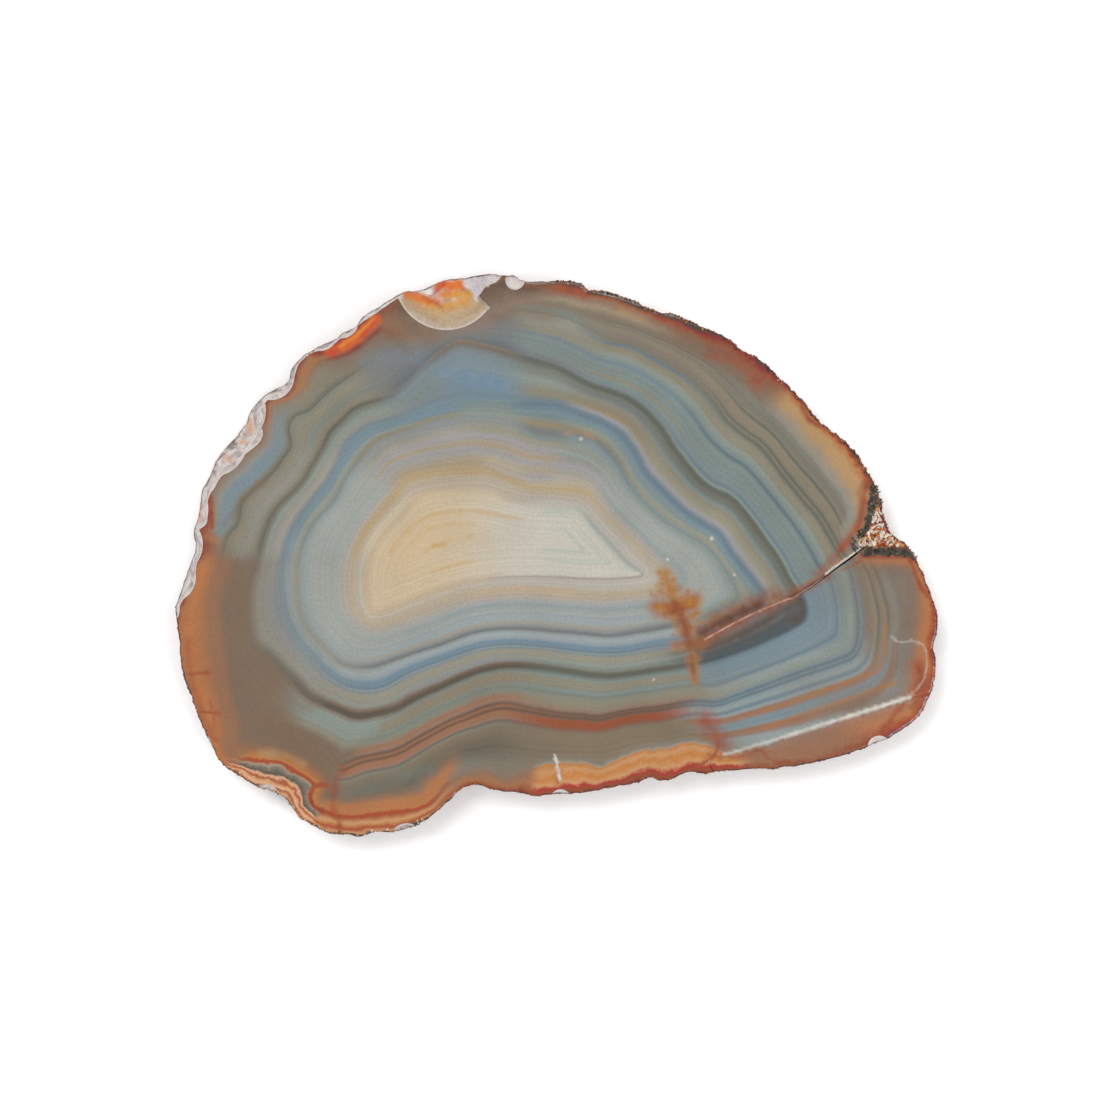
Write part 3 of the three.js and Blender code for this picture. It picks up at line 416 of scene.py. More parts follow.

# Stains and veins, with painted highlights and a painted shadow line by the ledge and the crack: the points
# of each stroke, half its width, how soft its sides are, its strength.
STAINS = {
    "cloud_brown": [([(-49, 0), (-46.5, -4), (-45, -10)], 1.2, 4, 0.35),
                    ([(31, -5.8), (27, -7.2), (22, -9.4)], 0.8, 2.8, 0.4),
                    ([(-42, -20), (-40, -25), (-37, -27.5)], 1.2, 4.5, 0.5),
                    ([(-24.5, 34), (-22, 32.6), (-18.5, 31.5)], 1.2, 3, 0.6),
                    ([(-24.5, 31), (-21, 31.3), (-18, 31.5)], 0.15, 1, 0.7),
                    ([(0, 33.8), (-4, 34.6), (-9, 33.8)], 0.4, 2.6, 0.5),
                    ([(-47.8, 4), (-46, 6.4), (-44.4, 8.4), (-42, 10.4)], 0.2, 1.2, 0.5)],
    "blue_smear": [([(-16.5, 26), (-14, 25.4), (-10.5, 24.6), (-7, 24.2)], 0.7, 2.8, 0.6),
                   ([(-46.6, 8.5), (-44.3, 11.5), (-41.6, 14.4), (-40.2, 18)], 0.3, 2, 0.15),
                   ([(-28, 27.3), (-24, 28.4), (-20, 27.6)], 0.8, 3, 0.3)],
    "grey_lens": [([(-30, -35.2), (-27, -34.2), (-23, -32.6), (-18, -31.4)], 0.7, 2.6, 0.6)],
    "tan": [([(1.5, 17.2), (3.5, 17.4), (5, 16.6)], 0.3, 1.4, 0.55),
            ([(9, 34.8), (12, 33.8)], 0.5, 2, 0.5),
            ([(-42.5, -29), (-39, -29.4), (-36.5, -30.6)], 0.3, 1.6, 0.7)],
    "core_glow": [([(-22.5, -0.5), (-18.5, 2.5), (-13.5, 3.2)], 0.6, 6.5, 0.4),
                  ([(-25, -5), (-24, 0)], 0.3, 4, 0.2)],
    "core_arc": [([(-24, 0), (-22.5, 2), (-20.5, 4), (-18.5, 5.2), (-15, 5.8), (-11, 5.8), (-8, 5.2),
                   (-5, 4.8)],
                  0.12, 0.9, 0.6),
                 ([(-19, 0.1), (-17, 1.3), (-14.5, 2), (-12, 2.3)], 0.1, 0.8, 0.5),
                 ([(-17.8, 0.9), (-16.2, 1.1)], 0.2, 0.9, 0.8),
                 ([(-18, -3), (-15, -2), (-12, -1.3)], 0.12, 0.9, 0.5),
                 ([(-21, 1), (-19.5, 2.6), (-16.5, 3.9), (-12, 4.1)], 0.1, 0.9, 0.35)],
    "orange": [([(29.5, -23), (33, -21.9), (37, -20.5), (41, -19), (44, -18), (46.2, -17.2), (47.2, -15),
                 (47.5, -11)], 0.2, 0.55, 0.75),
               ([(29.5, -25.5), (34, -23.9), (38, -22.5), (42, -21.2), (46, -19.8), (49, -18.8)], 0.2, 0.7,
                0.75),
               ([(47.5, -11), (47.3, -8)], 0.1, 0.6, 0.5),
               ([(35.3, 20.8), (36, 19.3), (38, 18)], 0.3, 0.8, 0.9),
               ([(44.2, 10.4), (43.5, 8.4)], 0.2, 0.9, 0.7),
               ([(-37, 24.2), (-36.6, 26), (-35.4, 28)], 0.5, 1.2, 0.75),
               ([(-50.6, 2.2), (-48.9, 1.6)], 0.3, 1, 0.8),
               ([(40.9, -1.3), (38, -3.4), (35, -5.5)], 0.3, 1.2, 0.6)],
    "rust": [([(35.4, 21.2), (36.4, 19.2), (38.3, 18), (40, 17.2), (41.5, 16), (42.5, 14.3), (43.8, 12.8),
               (44.9, 10.4)],
              0.25, 0.8, 0.85),
             ([(44.9, 10.4), (44.5, 8.8), (44.2, 7), (44, 5.4), (43.7, 4.2), (42.9, 3), (42.2, 1.8),
               (41, 0.3)],
              0.5, 1.3, 0.8),
             ([(40.6, -0.2), (39, -1.8), (37.4, -3.2)], 0.3, 1.6, 0.5),
             ([(44, -0.6), (46, -0.7), (48, -0.7), (50.4, -0.8), (51.3, -1.8), (51.8, -3.4), (52.4, -4.8),
               (53.4, -6.4)], 0.25, 0.7, 0.85),
             ([(41, -2.6), (42.6, -2), (44.2, -1)], 0.1, 0.6, 0.6),
             ([(21.4, -24), (22.6, -26), (24, -28)], 0.6, 4, 0.7),
             ([(23.4, -27.6), (22.8, -29.3), (20.2, -31)], 0.25, 0.6, 0.8),
             ([(22, -29.2), (26, -29.6), (29.5, -28.6), (30.6, -29.8), (32.4, -30.4)], 0.2, 0.8, 0.6),
             ([(22, 28.4), (24.6, 28), (27, 26.4), (29.3, 23.8)], 0.6, 2.2, 0.6),
             ([(27, 29), (26.8, 27.6)], 0.1, 0.4, 0.7), ([(29, 24.4), (31, 25.8)], 0.12, 0.4, 0.8),
             ([(0, 38), (4, 37.4)], 0.6, 1.2, 0.7), ([(14.5, 33.9), (18, 32.6)], 0.3, 1, 0.6),
             ([(50, -22), (48.8, -23.5), (48, -24.5), (47.3, -25.5)], 0.3, 0.8, 0.7),
             ([(52, -16.4), (52.6, -18.4), (51.8, -20.4)], 0.6, 2, 0.9), ([(53.6, -18.5), (51.4, -22.5)],
                                                                          0.4, 1.6, 0.7),
             ([(-53.2, -13), (-52.6, -18), (-51.2, -23), (-49.2, -27.4)], 0.2, 2.2, 0.5),
             ([(-53, -17.6), (-50, -17.4)], 0.15, 0.7, 0.8),
             ([(-51.5, -23), (-48.5, -23.3)], 0.15, 0.5, 0.85),
             ([(-50, -21.5), (-49.4, -24.5), (-50.2, -27)], 0.15, 0.8, 0.5),
             ([(-30.6, -31.4), (-31.6, -32.6), (-32.1, -34.4), (-32.2, -37), (-31.4, -38.8), (-31.3, -40)],
              0.25, 1.3,
              0.75),
             ([(-33, -33.6), (-35, -33.8), (-35.6, -35.5), (-34.8, -36.8), (-33.5, -37.4)], 0.3, 0.5, 0.95),
             ([(-42, 22.2), (-41.8, 20.4), (-42, 18.8)], 0.15, 0.6, 0.9),
             ([(-50, 8), (-49.8, 6), (-49.7, 3.5)], 0.25, 0.6, 0.9),
             ([(-36, 28.5), (-33, 28.9)], 0.25, 0.7, 0.85), ([(0.2, -33.4), (0.3, -31.8)], 0.3, 1, 0.6)],
    "blaze": [([(-32.6, 28.9), (-31, 29.5), (-29.2, 30.6), (-27.6, 32), (-26, 33.6)], 0.75, 0.8, 1)],
    "blaze_core": [([(-31.2, 29.7), (-29.2, 31), (-27.4, 32.6), (-26.4, 33.6)], 0.2, 0.7, 0.9)],
    "blaze_edge": [([(-32.6, 27.9), (-30.6, 28.4), (-28.2, 29.8), (-25.4, 32.2)], 0.15, 1, 0.85)],
    "wedge": [([(21, -13.8), (24, -13), (28, -11.4), (31.4, -9.4), (34, -7.8)], 0.7, 2, 0.9),
              ([(34.6, -7.2), (34.8, -8.8), (33.6, -10)], 0.5, 1.4, 0.8)],
    "plume": [([(15.7, -3), (16.1, -4.6), (16.6, -6), (17.2, -7.6)], 0.8, 2, 0.85),
              ([(15, -8), (17.2, -7.8), (19.4, -7.2)], 1.3, 2.4, 0.85),
              ([(13.8, -6.2), (15.6, -7.4)], 0.1, 1.4, 0.6), ([(19, -6.4), (20.8, -5.4)], 0.1, 1.4, 0.5),
              ([(14.2, -9.4), (16.2, -8.6)], 0.1, 1.3, 0.5),
              ([(16.6, -9.8), (18.3, -9.6), (20, -8.6)], 0.2, 2, 0.6),
              ([(17, -7.5), (18.5, -10), (19.3, -13)], 0.6, 2.2, 0.8),
              ([(19.3, -13), (19.7, -15.5), (19.9, -18.8)], 0.35, 1.2, 0.7),
              ([(17.2, -13.6), (19.3, -13.4), (21.4, -12.6)], 0.6, 2, 0.7)],
    "plume_core": [([(17, -7.4), (18.5, -10.6), (19.2, -13.2)], 0.4, 1.6, 0.8),
                   ([(16.8, -8.6), (18.2, -8.4)], 0.4, 1.6, 0.7),
                   ([(19.2, -13.2), (19.5, -15.6), (19.8, -18.4)], 0.1, 0.7, 0.6),
                   ([(17.4, -10.8), (19, -11), (20.6, -10.6)], 0.1, 0.9, 0.5)],
    "crack_rust": [([(39, -3.2), (35.4, -5.5), (33, -6.6)], 0.4, 1.6, 0.75),
                   ([(34, -6.3), (32, -7.2), (28, -9), (24, -11), (21.5, -12.4), (19.6, -13.2)], 0.7, 2.6,
                    0.85),
                   ([(32.4, -6.2), (28, -7.8), (24.5, -9.5), (21.5, -11.1)], 0.8, 2.4, 0.75)],
    # Dark brown patches and dark lines by the crack. The thinnest one, along the open crack, is a painted
    # shadow line.
    "crack_dark_and_painted_shadow": [([(29.4, -7.6), (26, -9.1), (23, -10.5), (20.8, -11.7)], 0.45, 1.4, 0.75),
                   ([(20, -14.4), (24, -13.2), (28, -11.2), (31, -9.4)], 0.1, 0.8, 0.5),
                   ([(35, -6.8), (35.5, -8.4), (34.6, -9.8)], 0.3, 1.6, 0.5),
                   ([(38.6, -3.4), (36, -5.2), (33.6, -6.5)], 0.05, 0.3, 0.9)],
    # A painted highlight on the open crack's edge, and a pale line down the middle of its healed part.
    "crack_painted_highlight_and_pale_line": [([(33.6, -6.7), (30.4, -8), (26.3, -9.9), (21.4, -12.6)], 0.05, 0.22, 0.85),
                    ([(38.4, -3.9), (36, -5.5), (33.8, -6.8)], 0.04, 0.2, 0.5)],
    "soot": [([(52.2, -0.9), (50.4, -0.2), (48, 0), (46.2, 0), (44.6, -0.1)], 0.5, 0.5, 0.95),
             ([(44.2, 1.9), (44.7, 3.4), (45.1, 5), (45.5, 6.6), (45.7, 8.2), (45.7, 9.4)], 0.5, 0.5, 0.95),
             ([(46.2, 8.2), (45.8, 10), (44.4, 12.4), (42.6, 14.6)], 0.2, 0.4, 0.85),
             ([(42.6, 14.6), (40.6, 16.9), (39.4, 18.1)], 0.1, 0.4, 0.85),
             ([(39.6, 18.3), (38, 19.4), (36.8, 20.8), (35.9, 22.4)], 0.55, 0.5, 0.95),
             ([(-21.6, -39.7), (-19.4, -39)], 0.4, 0.6, 0.9), ([(-43.4, -33.6), (-41, -34.3)], 0.25, 0.5,
                                                               0.8),
             ([(7, 37.4), (10.5, 36.5)], 0.2, 0.4, 0.85)],
    # Real white nicks and specks. The lines along the ledge's step, along the open crack's upper edge and
    # along the curved line by the ledge are painted highlights.
    "pale_and_painted_highlight": [([(33, -26.6), (40, -24.4), (46, -22.5), (51, -20.9)], 0.28, 0.35, 0.85),
             ([(24.2, -29.2), (28.5, -28), (33, -26.6)], 0.16, 0.35, 0.6),
             ([(-0.2, -29.3), (0.2, -31.2), (0.5, -33)], 0.1, 0.2, 0.85),
             ([(44.9, 1.5), (43.8, 0.5), (42, -0.8), (40, -2.2), (38.9, -3.1)], 0.06, 0.14, 1),
             ([(48.3, -12.2), (49.5, -13), (51.5, -12.8), (53, -13.6), (53.4, -15.5), (53.2, -17.5),
               (52.6, -19), (51.5, -20.2), (50.3, -20.9)], 0.05, 0.2, 0.4),
             ([(22.3, 1.8), (22.4, 1.9)], 0.1, 0.2, 0.9), ([(16, -1.1), (16.1, -1.1)], 0.1, 0.2, 0.8),
             ([(25.6, -3.2), (25.7, -3.3)], 0.1, 0.2, 0.8), ([(3.5, 16.2), (3.6, 16.3)], 0.1, 0.2, 0.7),
             ([(14, -18.4), (14.1, -18.4)], 0.08, 0.2, 0.7)],
}
STAIN_COLOURS = {"cloud_brown": ("7C6656", "866B54"), "blue_smear": ("7089A0", "7D909D"),
                 "grey_lens": ("777B74", "6F716A"), "tan": ("B48F66", "A98A6A"), "core_glow": ("CCAE84",
                                                                                               "CBB08B"),
                 "core_arc": ("BE9457", "C6A26E"), "orange": ("A87350", "9E7856"), "rust": ("8E4A33",
                                                                                            "A05A40"),
                 "blaze": ("C96428", "BC5028"), "blaze_core": ("DE8E36", "D67A2C"),
                 "blaze_edge": ("8A4030", "7C4434"), "plume": ("AC7B45", "A2662F"),
                 "plume_core": ("8F5230", "864C34"), "crack_rust": ("86523C", "8F5F49"),
                 "crack_dark_and_painted_shadow": ("5A463C", "64483C"), "crack_painted_highlight_and_pale_line": ("C08C78", "D0A898"),
                 "wedge": ("66605B", "5D5A57"), "soot": ("45433F", "5A554D"), "pale_and_painted_highlight": ("DCD8D0", "C4BCB2")}

# Marks on the broken faces alone.
CHIP_MARKS = {
    "chip_beige": [([(-20.4, 35.6), (-17, 34.2), (-14, 34.2), (-11.2, 35.6)], 2.1, 1.6, 1)],
    "chip_pale": [([(-20.6, 34.4), (-18.4, 33), (-15, 32.5), (-12.4, 33.3), (-10.4, 35)], 0.3, 1.8, 0.7)],
    "chip_honey": [([(-19.6, 36.4), (-17.4, 35.6), (-15, 35.9), (-12.8, 36.8)], 0.6, 2.4, 0.85),
                   ([(-16, 37.4), (-14.4, 37.4), (-12.9, 37.4)], 0.7, 1.4, 0.9)],
    "chip_orange": [([(-21.6, 37.2), (-19.8, 36.9), (-18.6, 36.5)], 0.5, 1.2, 0.9),
                    ([(-17, 38.9), (-15.2, 38.8), (-13.8, 38.8)], 0.75, 1.2, 0.95),
                    ([(-17.6, 36.6), (-16.4, 37.4), (-15.4, 38)], 0.4, 1.2, 0.7),
                    ([(-6.8, 37.9), (-5.6, 37.8)], 0.2, 0.6, 0.7)],
    "chip_red": [([(-19.2, 36.9), (-18.1, 36.5), (-16.9, 35.8)], 0.2, 1, 0.85),
                 ([(-18.2, 37.3), (-17.2, 38.2), (-16.4, 39)], 0.3, 1, 0.85)],
    "chip_shard": [([(-19.8, 38.3), (-18.4, 37.7)], 0.4, 0.7, 1), ([(-6.6, 38.6), (-5.4, 38.4)], 1, 0.9, 1),
                   ([(45.4, -27.4), (47.6, -27.2)], 1.1, 0.9, 1), ([(-0.4, -34.8), (1.4, -34.9)], 1, 0.9,
                                                                   1)],
    "chip_ice": [([(-12.8, 39.2), (-11.6, 38.2), (-11.2, 37.2)], 0.8, 0.8, 1),
                 ([(-12, 39.4), (-9.2, 39.4)], 0.6, 0.8, 1)],
    "chip_blush": [([(-45, 19), (-44.6, 17.6)], 0.5, 1, 0.7), ([(-46, 16), (-45, 15.9)], 0.3, 0.7, 0.6),
                   ([(-48.4, 13.8), (-47.2, 13.4)], 0.4, 1, 0.6), ([(-52, 7), (-51.9, 4.6)], 0.3, 0.7, 0.6)],
}
ON_TOP_ONLY = ("pale_and_painted_highlight",)
CHIP_MARK_COLOURS = {"chip_beige": ("BC9C7A", "BAA487"), "chip_pale": ("B4A898", "C6BAAC"),
                     "chip_honey": ("D6953F", "D29A54"), "chip_orange": ("DE8226", "D46E2A"),
                     "chip_red": ("BE5222", "AC4E30"), "chip_shard": ("EAE2DF", "D2C4C2"),
                     "chip_ice": ("C9C1C8", "D6CECC"), "chip_blush": ("DDA083", "D8AC84")}

RIM_STEP = 0.3
FACE_STEP = 0.46
EDGE_STEP = 0.26
UNDER_STEP = 1.1
WALL_RINGS = 14
BREAK_FOOT = 0.9
NODULE_LEAN = np.array([0.6, -0.8])
LEAN_UNDER = 1.3


def curve_through(points, step, closed=True):
    """A smooth line through the points, with even steps along its first two columns."""
    knots = np.array(points, float)
    count = len(knots)
    spans = count if closed else count - 1
    fine = []
    for i in range(spans):
        if closed:
            four = [knots[(i + k) % count] for k in (-1, 0, 1, 2)]
        else:
            four = [knots[min(max(i + k, 0), count - 1)] for k in (-1, 0, 1, 2)]
        fine.append(rounded_span(four, 12))
    fine.append(knots[:1] if closed else knots[-1:])
    fine = np.concatenate(fine)
    lengths = np.hypot(*np.diff(fine[:, :2], axis=0).T)
    along = np.concatenate([[0], np.cumsum(lengths)])
    total = max(2, round(along[-1] / step))
    wanted = np.linspace(0, along[-1], total + 1)
    if closed:
        wanted = wanted[:-1]
    return np.stack([np.interp(wanted, along, fine[:, k]) for k in range(fine.shape[1])], 1)


def rounded_span(four, pieces):
    """Points from the second of four knots towards the third, on a centripetal spline."""
    a, b, c, d = four
    gaps = [max(math.sqrt(math.dist(p[:2], q[:2])), 1e-3) for p, q in ((a, b), (b, c), (c, d))]
    leave = (b - a) / gaps[0] - (c - a) / (gaps[0] + gaps[1]) + (c - b) / gaps[1]
    arrive = (c - b) / gaps[1] - (d - b) / (gaps[1] + gaps[2]) + (d - c) / gaps[2]
    leave, arrive = leave * gaps[1], arrive * gaps[1]
    t = (np.arange(pieces) / pieces)[:, None]
    return ((2 * t**3 - 3 * t**2 + 1) * b + (t**3 - 2 * t**2 + t) * leave
            + (3 * t**2 - 2 * t**3) * c + (t**3 - t**2) * arrive)


NOISE_TABLE = np.random.default_rng(11).uniform(-1, 1, (64, 64, 64))


def noise(points, size, shift=0.0):
    """Smooth noise from -1 to 1 whose bumps are about size across."""
    places = np.asarray(points, float) / size + shift
    if places.shape[1] == 2:
        places = np.column_stack([places, np.zeros(len(places))])
    low = np.floor(places).astype(int)
    part = places - low
    part = part * part * (3 - 2 * part)
    total = np.zeros(len(places))
    for corner in range(8):
        bits = np.array([corner & 1, corner >> 1 & 1, corner >> 2 & 1])
        cell = (low + bits) % 64
        weight = np.prod(np.where(bits, part, 1 - part), axis=1)
        total += weight * NOISE_TABLE[cell[:, 0], cell[:, 1], cell[:, 2]]
    return total


def smooth_step(value, low, high):
    share = np.clip((value - low) / (high - low), 0, 1)
    return share * share * (3 - 2 * share)


def line_distance(points, line, closed=False):
    """How far each point is from a line."""
    ends = np.roll(line, -1, axis=0) if closed else line[1:]
    px, py = points[:, 0].copy(), points[:, 1].copy()
    best = np.full(len(points), 1e9)
    for (x, y), (end_x, end_y) in zip(line.tolist(), ends.tolist()):
        run_x, run_y = end_x - x, end_y - y
        away_x, away_y = px - x, py - y
        share = away_x * run_x
        share += away_y * run_y
        share /= max(run_x**2 + run_y**2, 1e-9)
        np.clip(share, 0, 1, out=share)
        away_x -= share * run_x
        away_y -= share * run_y
        away_x *= away_x
        away_y *= away_y
        away_x += away_y
        np.minimum(best, away_x, out=best)
    return np.sqrt(best)


def is_inside(points, loop):
    px, py = points[:, 0].copy(), points[:, 1].copy()
    inside = np.zeros(len(points), bool)
    for (x, y), (end_x, end_y) in zip(loop.tolist(), np.roll(loop, -1, axis=0).tolist()):
        if y != end_y:
            slant = (end_x - x) / (end_y - y)
            inside ^= ((y > py) != (end_y > py)) & (px < x + (py - y) * slant)
    return inside


def depth_inside(points, loop):
    """The distance to a closed loop, negative outside it. Far from a long loop it is a little coarse."""
    if len(loop) < 500:
        return np.where(is_inside(points, loop), 1, -1) * line_distance(points, loop, True)
    depth = depth_inside(points, loop[::6])
    near = np.flatnonzero(np.abs(depth) < 2.6)
    depth[near] = np.where(is_inside(points[near], loop), 1, -1) * line_distance(points[near], loop, True)
    return depth


def outward_of(loop):
    """The direction out of a closed loop that runs anticlockwise, at each of its points."""
    run = np.roll(loop, -3, axis=0) - np.roll(loop, 3, axis=0)
    run /= np.linalg.norm(run, axis=1)[:, None]
    return np.column_stack([run[:, 1], -run[:, 0]])


four_columns = [p if len(p) == 4 else p + p for p in OUTLINE]
stations = curve_through(four_columns, RIM_STEP)
rim_middle = stations[:, :2]
polished_edge = stations[:, 2:]
outward = outward_of(rim_middle)
turn_of_rim = np.degrees(np.arctan2(rim_middle[:, 1], rim_middle[:, 0])) % 360
crusty = smooth_step(turn_of_rim, 4, 12) * (1 - smooth_step(turn_of_rim, 75, 92))
roughness_out = (-0.2 + 0.12 * noise(rim_middle, 4.2) + 0.09 * noise(rim_middle, 1.5)
                 + (0.09 + 0.08 * crusty) * noise(rim_middle,
                                                  0.7) + (0.04 + 0.05 * crusty) * noise(rim_middle, 0.35))
rim = rim_middle + outward * roughness_out[:, None]
face_edge = curve_through(polished_edge[::4], RIM_STEP)
pocket_edge = curve_through(POCKET, 0.25)
crack_line = curve_through(CRACK, 0.3, closed=False)
ledge_run = (LEDGE_END - LEDGE_START) / np.linalg.norm(LEDGE_END - LEDGE_START)
ledge_out = np.array([ledge_run[1], -ledge_run[0]])
stain_front = curve_through(STAIN_FRONT, 0.8)
crack_side_loop = np.array(CRACK_SIDE, float)
tooth = np.array(TOOTH, float)
band_loops = [(0.0, curve_through(polished_edge[::6], 1.2))]
band_loops += [(value, curve_through(points, 1.2)) for value, points in BAND_LINES]


def band_at(points):
    """The band value of each point: 0 at the rim, 1 in the core."""
    depths = [depth_inside(points, loop) for value, loop in band_loops]
    bands = np.clip(depths[0], -1, 0) * 0.05
    for k, (value, loop) in enumerate(band_loops):
        here = depths[k] >= 0
        if k + 1 < len(band_loops):
            next_value = band_loops[k + 1][0]
            to_next = -depths[k + 1]
            share = np.where(to_next > 0, depths[k] / np.maximum(depths[k] + to_next, 1e-6), 1)
            bands = np.where(here, value + (next_value - value) * share, bands)
        else:
            bands = np.where(here, value + (1 - value) * depths[k] / depths[k].max(), bands)
    return bands


def margin_at(points):
    """0 at the rim, 1 at the front of the rim's stain, and on towards 2 inside it."""
    to_rim = np.maximum(depth_inside(points, face_edge), 0)
    to_front = depth_inside(points, stain_front)
    outside = to_rim / np.maximum(to_rim - to_front, 1e-6)
    return np.where(to_front < 0, outside, 1 + to_front / (np.abs(to_front) + 3))


def ledge_distances(points):
    away = points - LEDGE_START
    return away @ ledge_out, away @ ledge_run


def chip_depth(points):
    """How far inside the nearest chip each point is, at the level of the polished face."""
    best = np.full(len(points), -9.0)
    clear = -depth_inside(points, tooth)
    for x, y, radius, depth in CHIPS:
        here = radius - np.hypot(points[:, 0] - x, points[:, 1] - y)
        if radius > 2.5:
            here = np.minimum(here, clear)
        best = np.maximum(best, here)
    return best


def crack_share(points):
    """0 outside the open crack, 1 on its middle line."""
    distance = line_distance(points, crack_line)
    fade = 1 - 0.7 * smooth_step(-points[:, 0], -44, -35)
    return np.clip(1 - distance / (CRACK_WIDTH / 2 * fade), 0, 1), fade


def face_height(points):
    """The height of the upper side over each point of the plan."""
    to_rim = np.maximum(depth_inside(points, rim), 0)
    inside_edge = depth_inside(points, face_edge)
    broken_width = to_rim + np.abs(inside_edge)
    foot = THICKNESS - (THICKNESS - BREAK_FOOT) * smooth_step(broken_width, 0.15, 1.7)
    share = to_rim / np.maximum(broken_width, 1e-6)
    rough = 0.1 * noise(points, 1.1) + 0.06 * noise(points, 0.5)
    slope = foot + (THICKNESS - foot) * share**1.5 + rough * smooth_step(-inside_edge, 0, 0.5)
    height = np.where(inside_edge < 0, np.minimum(slope, THICKNESS), THICKNESS)

    out, along = ledge_distances(points)
    step = np.clip(out / LEDGE_STEP[0], 0, 1) * LEDGE_STEP[1]
    fall = np.clip((out - LEDGE_STEP[0]) / (LEDGE_FALL[0] - LEDGE_STEP[0]), 0,
                   1) * (LEDGE_FALL[1] - LEDGE_STEP[1])
    height = np.where(along > 0, np.minimum(height, THICKNESS - step - fall), height)

    clear = -depth_inside(points, tooth)
    for x, y, radius, depth in CHIPS:
        ball = (radius**2 + depth**2) / (2 * depth)
        away = np.hypot(points[:, 0] - x, points[:, 1] - y)
        wave = 0.06 * np.sin(away * 3.1 + 2 * noise(points, 3)) + 0.1 * noise(points,
                                                                              0.9) + 0.05 * noise(points,
                                                                                                  0.4)
        wave = wave * smooth_step(radius - away, 0, 0.8)
        bowl = THICKNESS - depth + ball - np.sqrt(np.maximum(ball**2 - away**2, 0)) + wave
        if radius > 2.5:
            bowl = bowl + (THICKNESS - bowl) * smooth_step(-clear, -0.3, 0)
        height = np.where(away < ball, np.minimum(height, bowl), height)

    pocket = depth_inside(points, pocket_edge)
    floor = THICKNESS - POCKET_DEPTH * smooth_step(pocket, 0, 0.3) + 0.12 * noise(points,
                                                                                  0.6) * (pocket > 0.2)
    height = np.where(pocket > 0, np.minimum(height, floor), height)
    crack, fade = crack_share(points)
    height = np.minimum(height, THICKNESS - CRACK_DEPTH * fade * crack)
    rounding = 0.1 * (1 - smooth_step(to_rim, 0, 0.14))
    return np.maximum(height - rounding, 0.5)


def grid_points(step, keep, shift=0.0):
    """Points of a slightly shaken triangular grid over the plan, where keep says so."""
    rows = []
    tall = step * math.sqrt(3) / 2
    for row in range(int(86 / tall)):
        xs = np.arange(-57, 57, step) + (step / 2 if row % 2 else 0)
        rows.append(np.column_stack([xs, np.full(len(xs), -43 + row * tall)]))
    points = np.concatenate(rows)
    shake = np.column_stack([noise(points, step * 0.7, 3 + shift), noise(points, step * 0.7, 17 + shift)])
    points = points + shake * step * 0.16
    return points[keep(points)]


def triangulate(loop, points, lines):
    """Fills a loop with triangles that use the inner points and keep to the lines."""
    places = [loop, points]
    edges = [(i, (i + 1) % len(loop)) for i in range(len(loop))]
    total = len(loop) + len(points)
    for line in lines:
        places.append(line)
        edges += [(total + i, total + i + 1) for i in range(len(line) - 1)]
        total += len(line)
    places = np.concatenate(places)
    found = delaunay_2d_cdt([Vector(p) for p in places.tolist()], edges, [], 0, 1e-5, True)
    flat = np.array([tuple(v) for v in found[0]])
    triangles = np.array(found[2])
    loop_places = np.zeros(len(loop), int)
    for index, sources in enumerate(found[3]):
        for source in sources:
            if source < len(loop):
                loop_places[source] = index
    on_loop = np.isin(triangles, loop_places).all(axis=1)
    middles = flat[triangles[on_loop]].mean(axis=1)
    outside = np.flatnonzero(on_loop)[~is_inside(middles, loop)]
    triangles = np.delete(triangles, outside, axis=0)
    a, b, c = (flat[triangles[:, k]] for k in range(3))
    area = (b[:, 0] - a[:, 0]) * (c[:, 1] - a[:, 1]) - (b[:, 1] - a[:, 1]) * (c[:, 0] - a[:, 0])
    triangles[area < 0] = triangles[area < 0][:, ::-1]
    return flat, triangles, loop_places


def kept_runs(line, reach):
    """The parts of a line that lie well inside the rim."""
    inside = depth_inside(line, rim) > reach
    runs = []
    start = None
    for i, good in enumerate(list(inside) + [False]):
        if good and start is None:
            start = i
        if not good and start is not None:
            if i - start > 1:
                runs.append(line[start:i])
            start = None
    return runs


def detail_lines():
    """The lines that the polished face's triangles keep to."""
    lines = []
    for x, y, radius, depth in CHIPS:
        turns = np.linspace(0, math.tau, int(radius * math.tau / 0.25) + 1)
        lines += kept_runs(np.column_stack([x + radius * np.cos(turns), y + radius * np.sin(turns)]), 0.16)
    broken = np.linalg.norm(rim_middle - polished_edge, axis=1) > 0.25
    for run in kept_runs(face_edge, 0.16):
        lines.append(run)
    for side in (0, 0.55):
        start = LEDGE_START + ledge_out * side
        steps = np.arange(0, 40, 0.35)[:, None]
        lines += kept_runs(start + ledge_run * steps, 0.16)
    lines += kept_runs(np.vstack([pocket_edge, pocket_edge[:1]]), 0.16)
    lines += kept_runs(crack_line, 0.16)
    run = np.gradient(crack_line, axis=0)
    across = np.column_stack([run[:, 1], -run[:, 0]]) / np.linalg.norm(run, axis=1)[:, None]
    width = CRACK_WIDTH / 2 * crack_share(crack_line)[1]
    for side in (-1, 1):
        lines += kept_runs(crack_line + across * (side * width)[:, None], 0.16)
    tooth_side = np.array([[-9.7, 35.3], [-11.2, 36.9], [-10.3, 38.2], [-9, 38.8], [-8.2, 39.6]])
    lines += kept_runs(curve_through(tooth_side, 0.25, closed=False), 0.16)
    for strokes in STAINS.values():
        for points, half, soft, strength in strokes:
            if half + soft < 1.3:
                lines += kept_runs(curve_through(points, 0.32, closed=False), 0.3)
    return lines


def is_delicate(points):
    """Where the upper side needs the fine grid: near the rim, the chips, the crack and the plume."""
    near_rim = depth_inside(points, rim) < 1.9
    near_crack = line_distance(points, crack_side_loop[1:13]) < 2.4
    return near_rim | near_crack | (chip_depth(points) > -0.4)


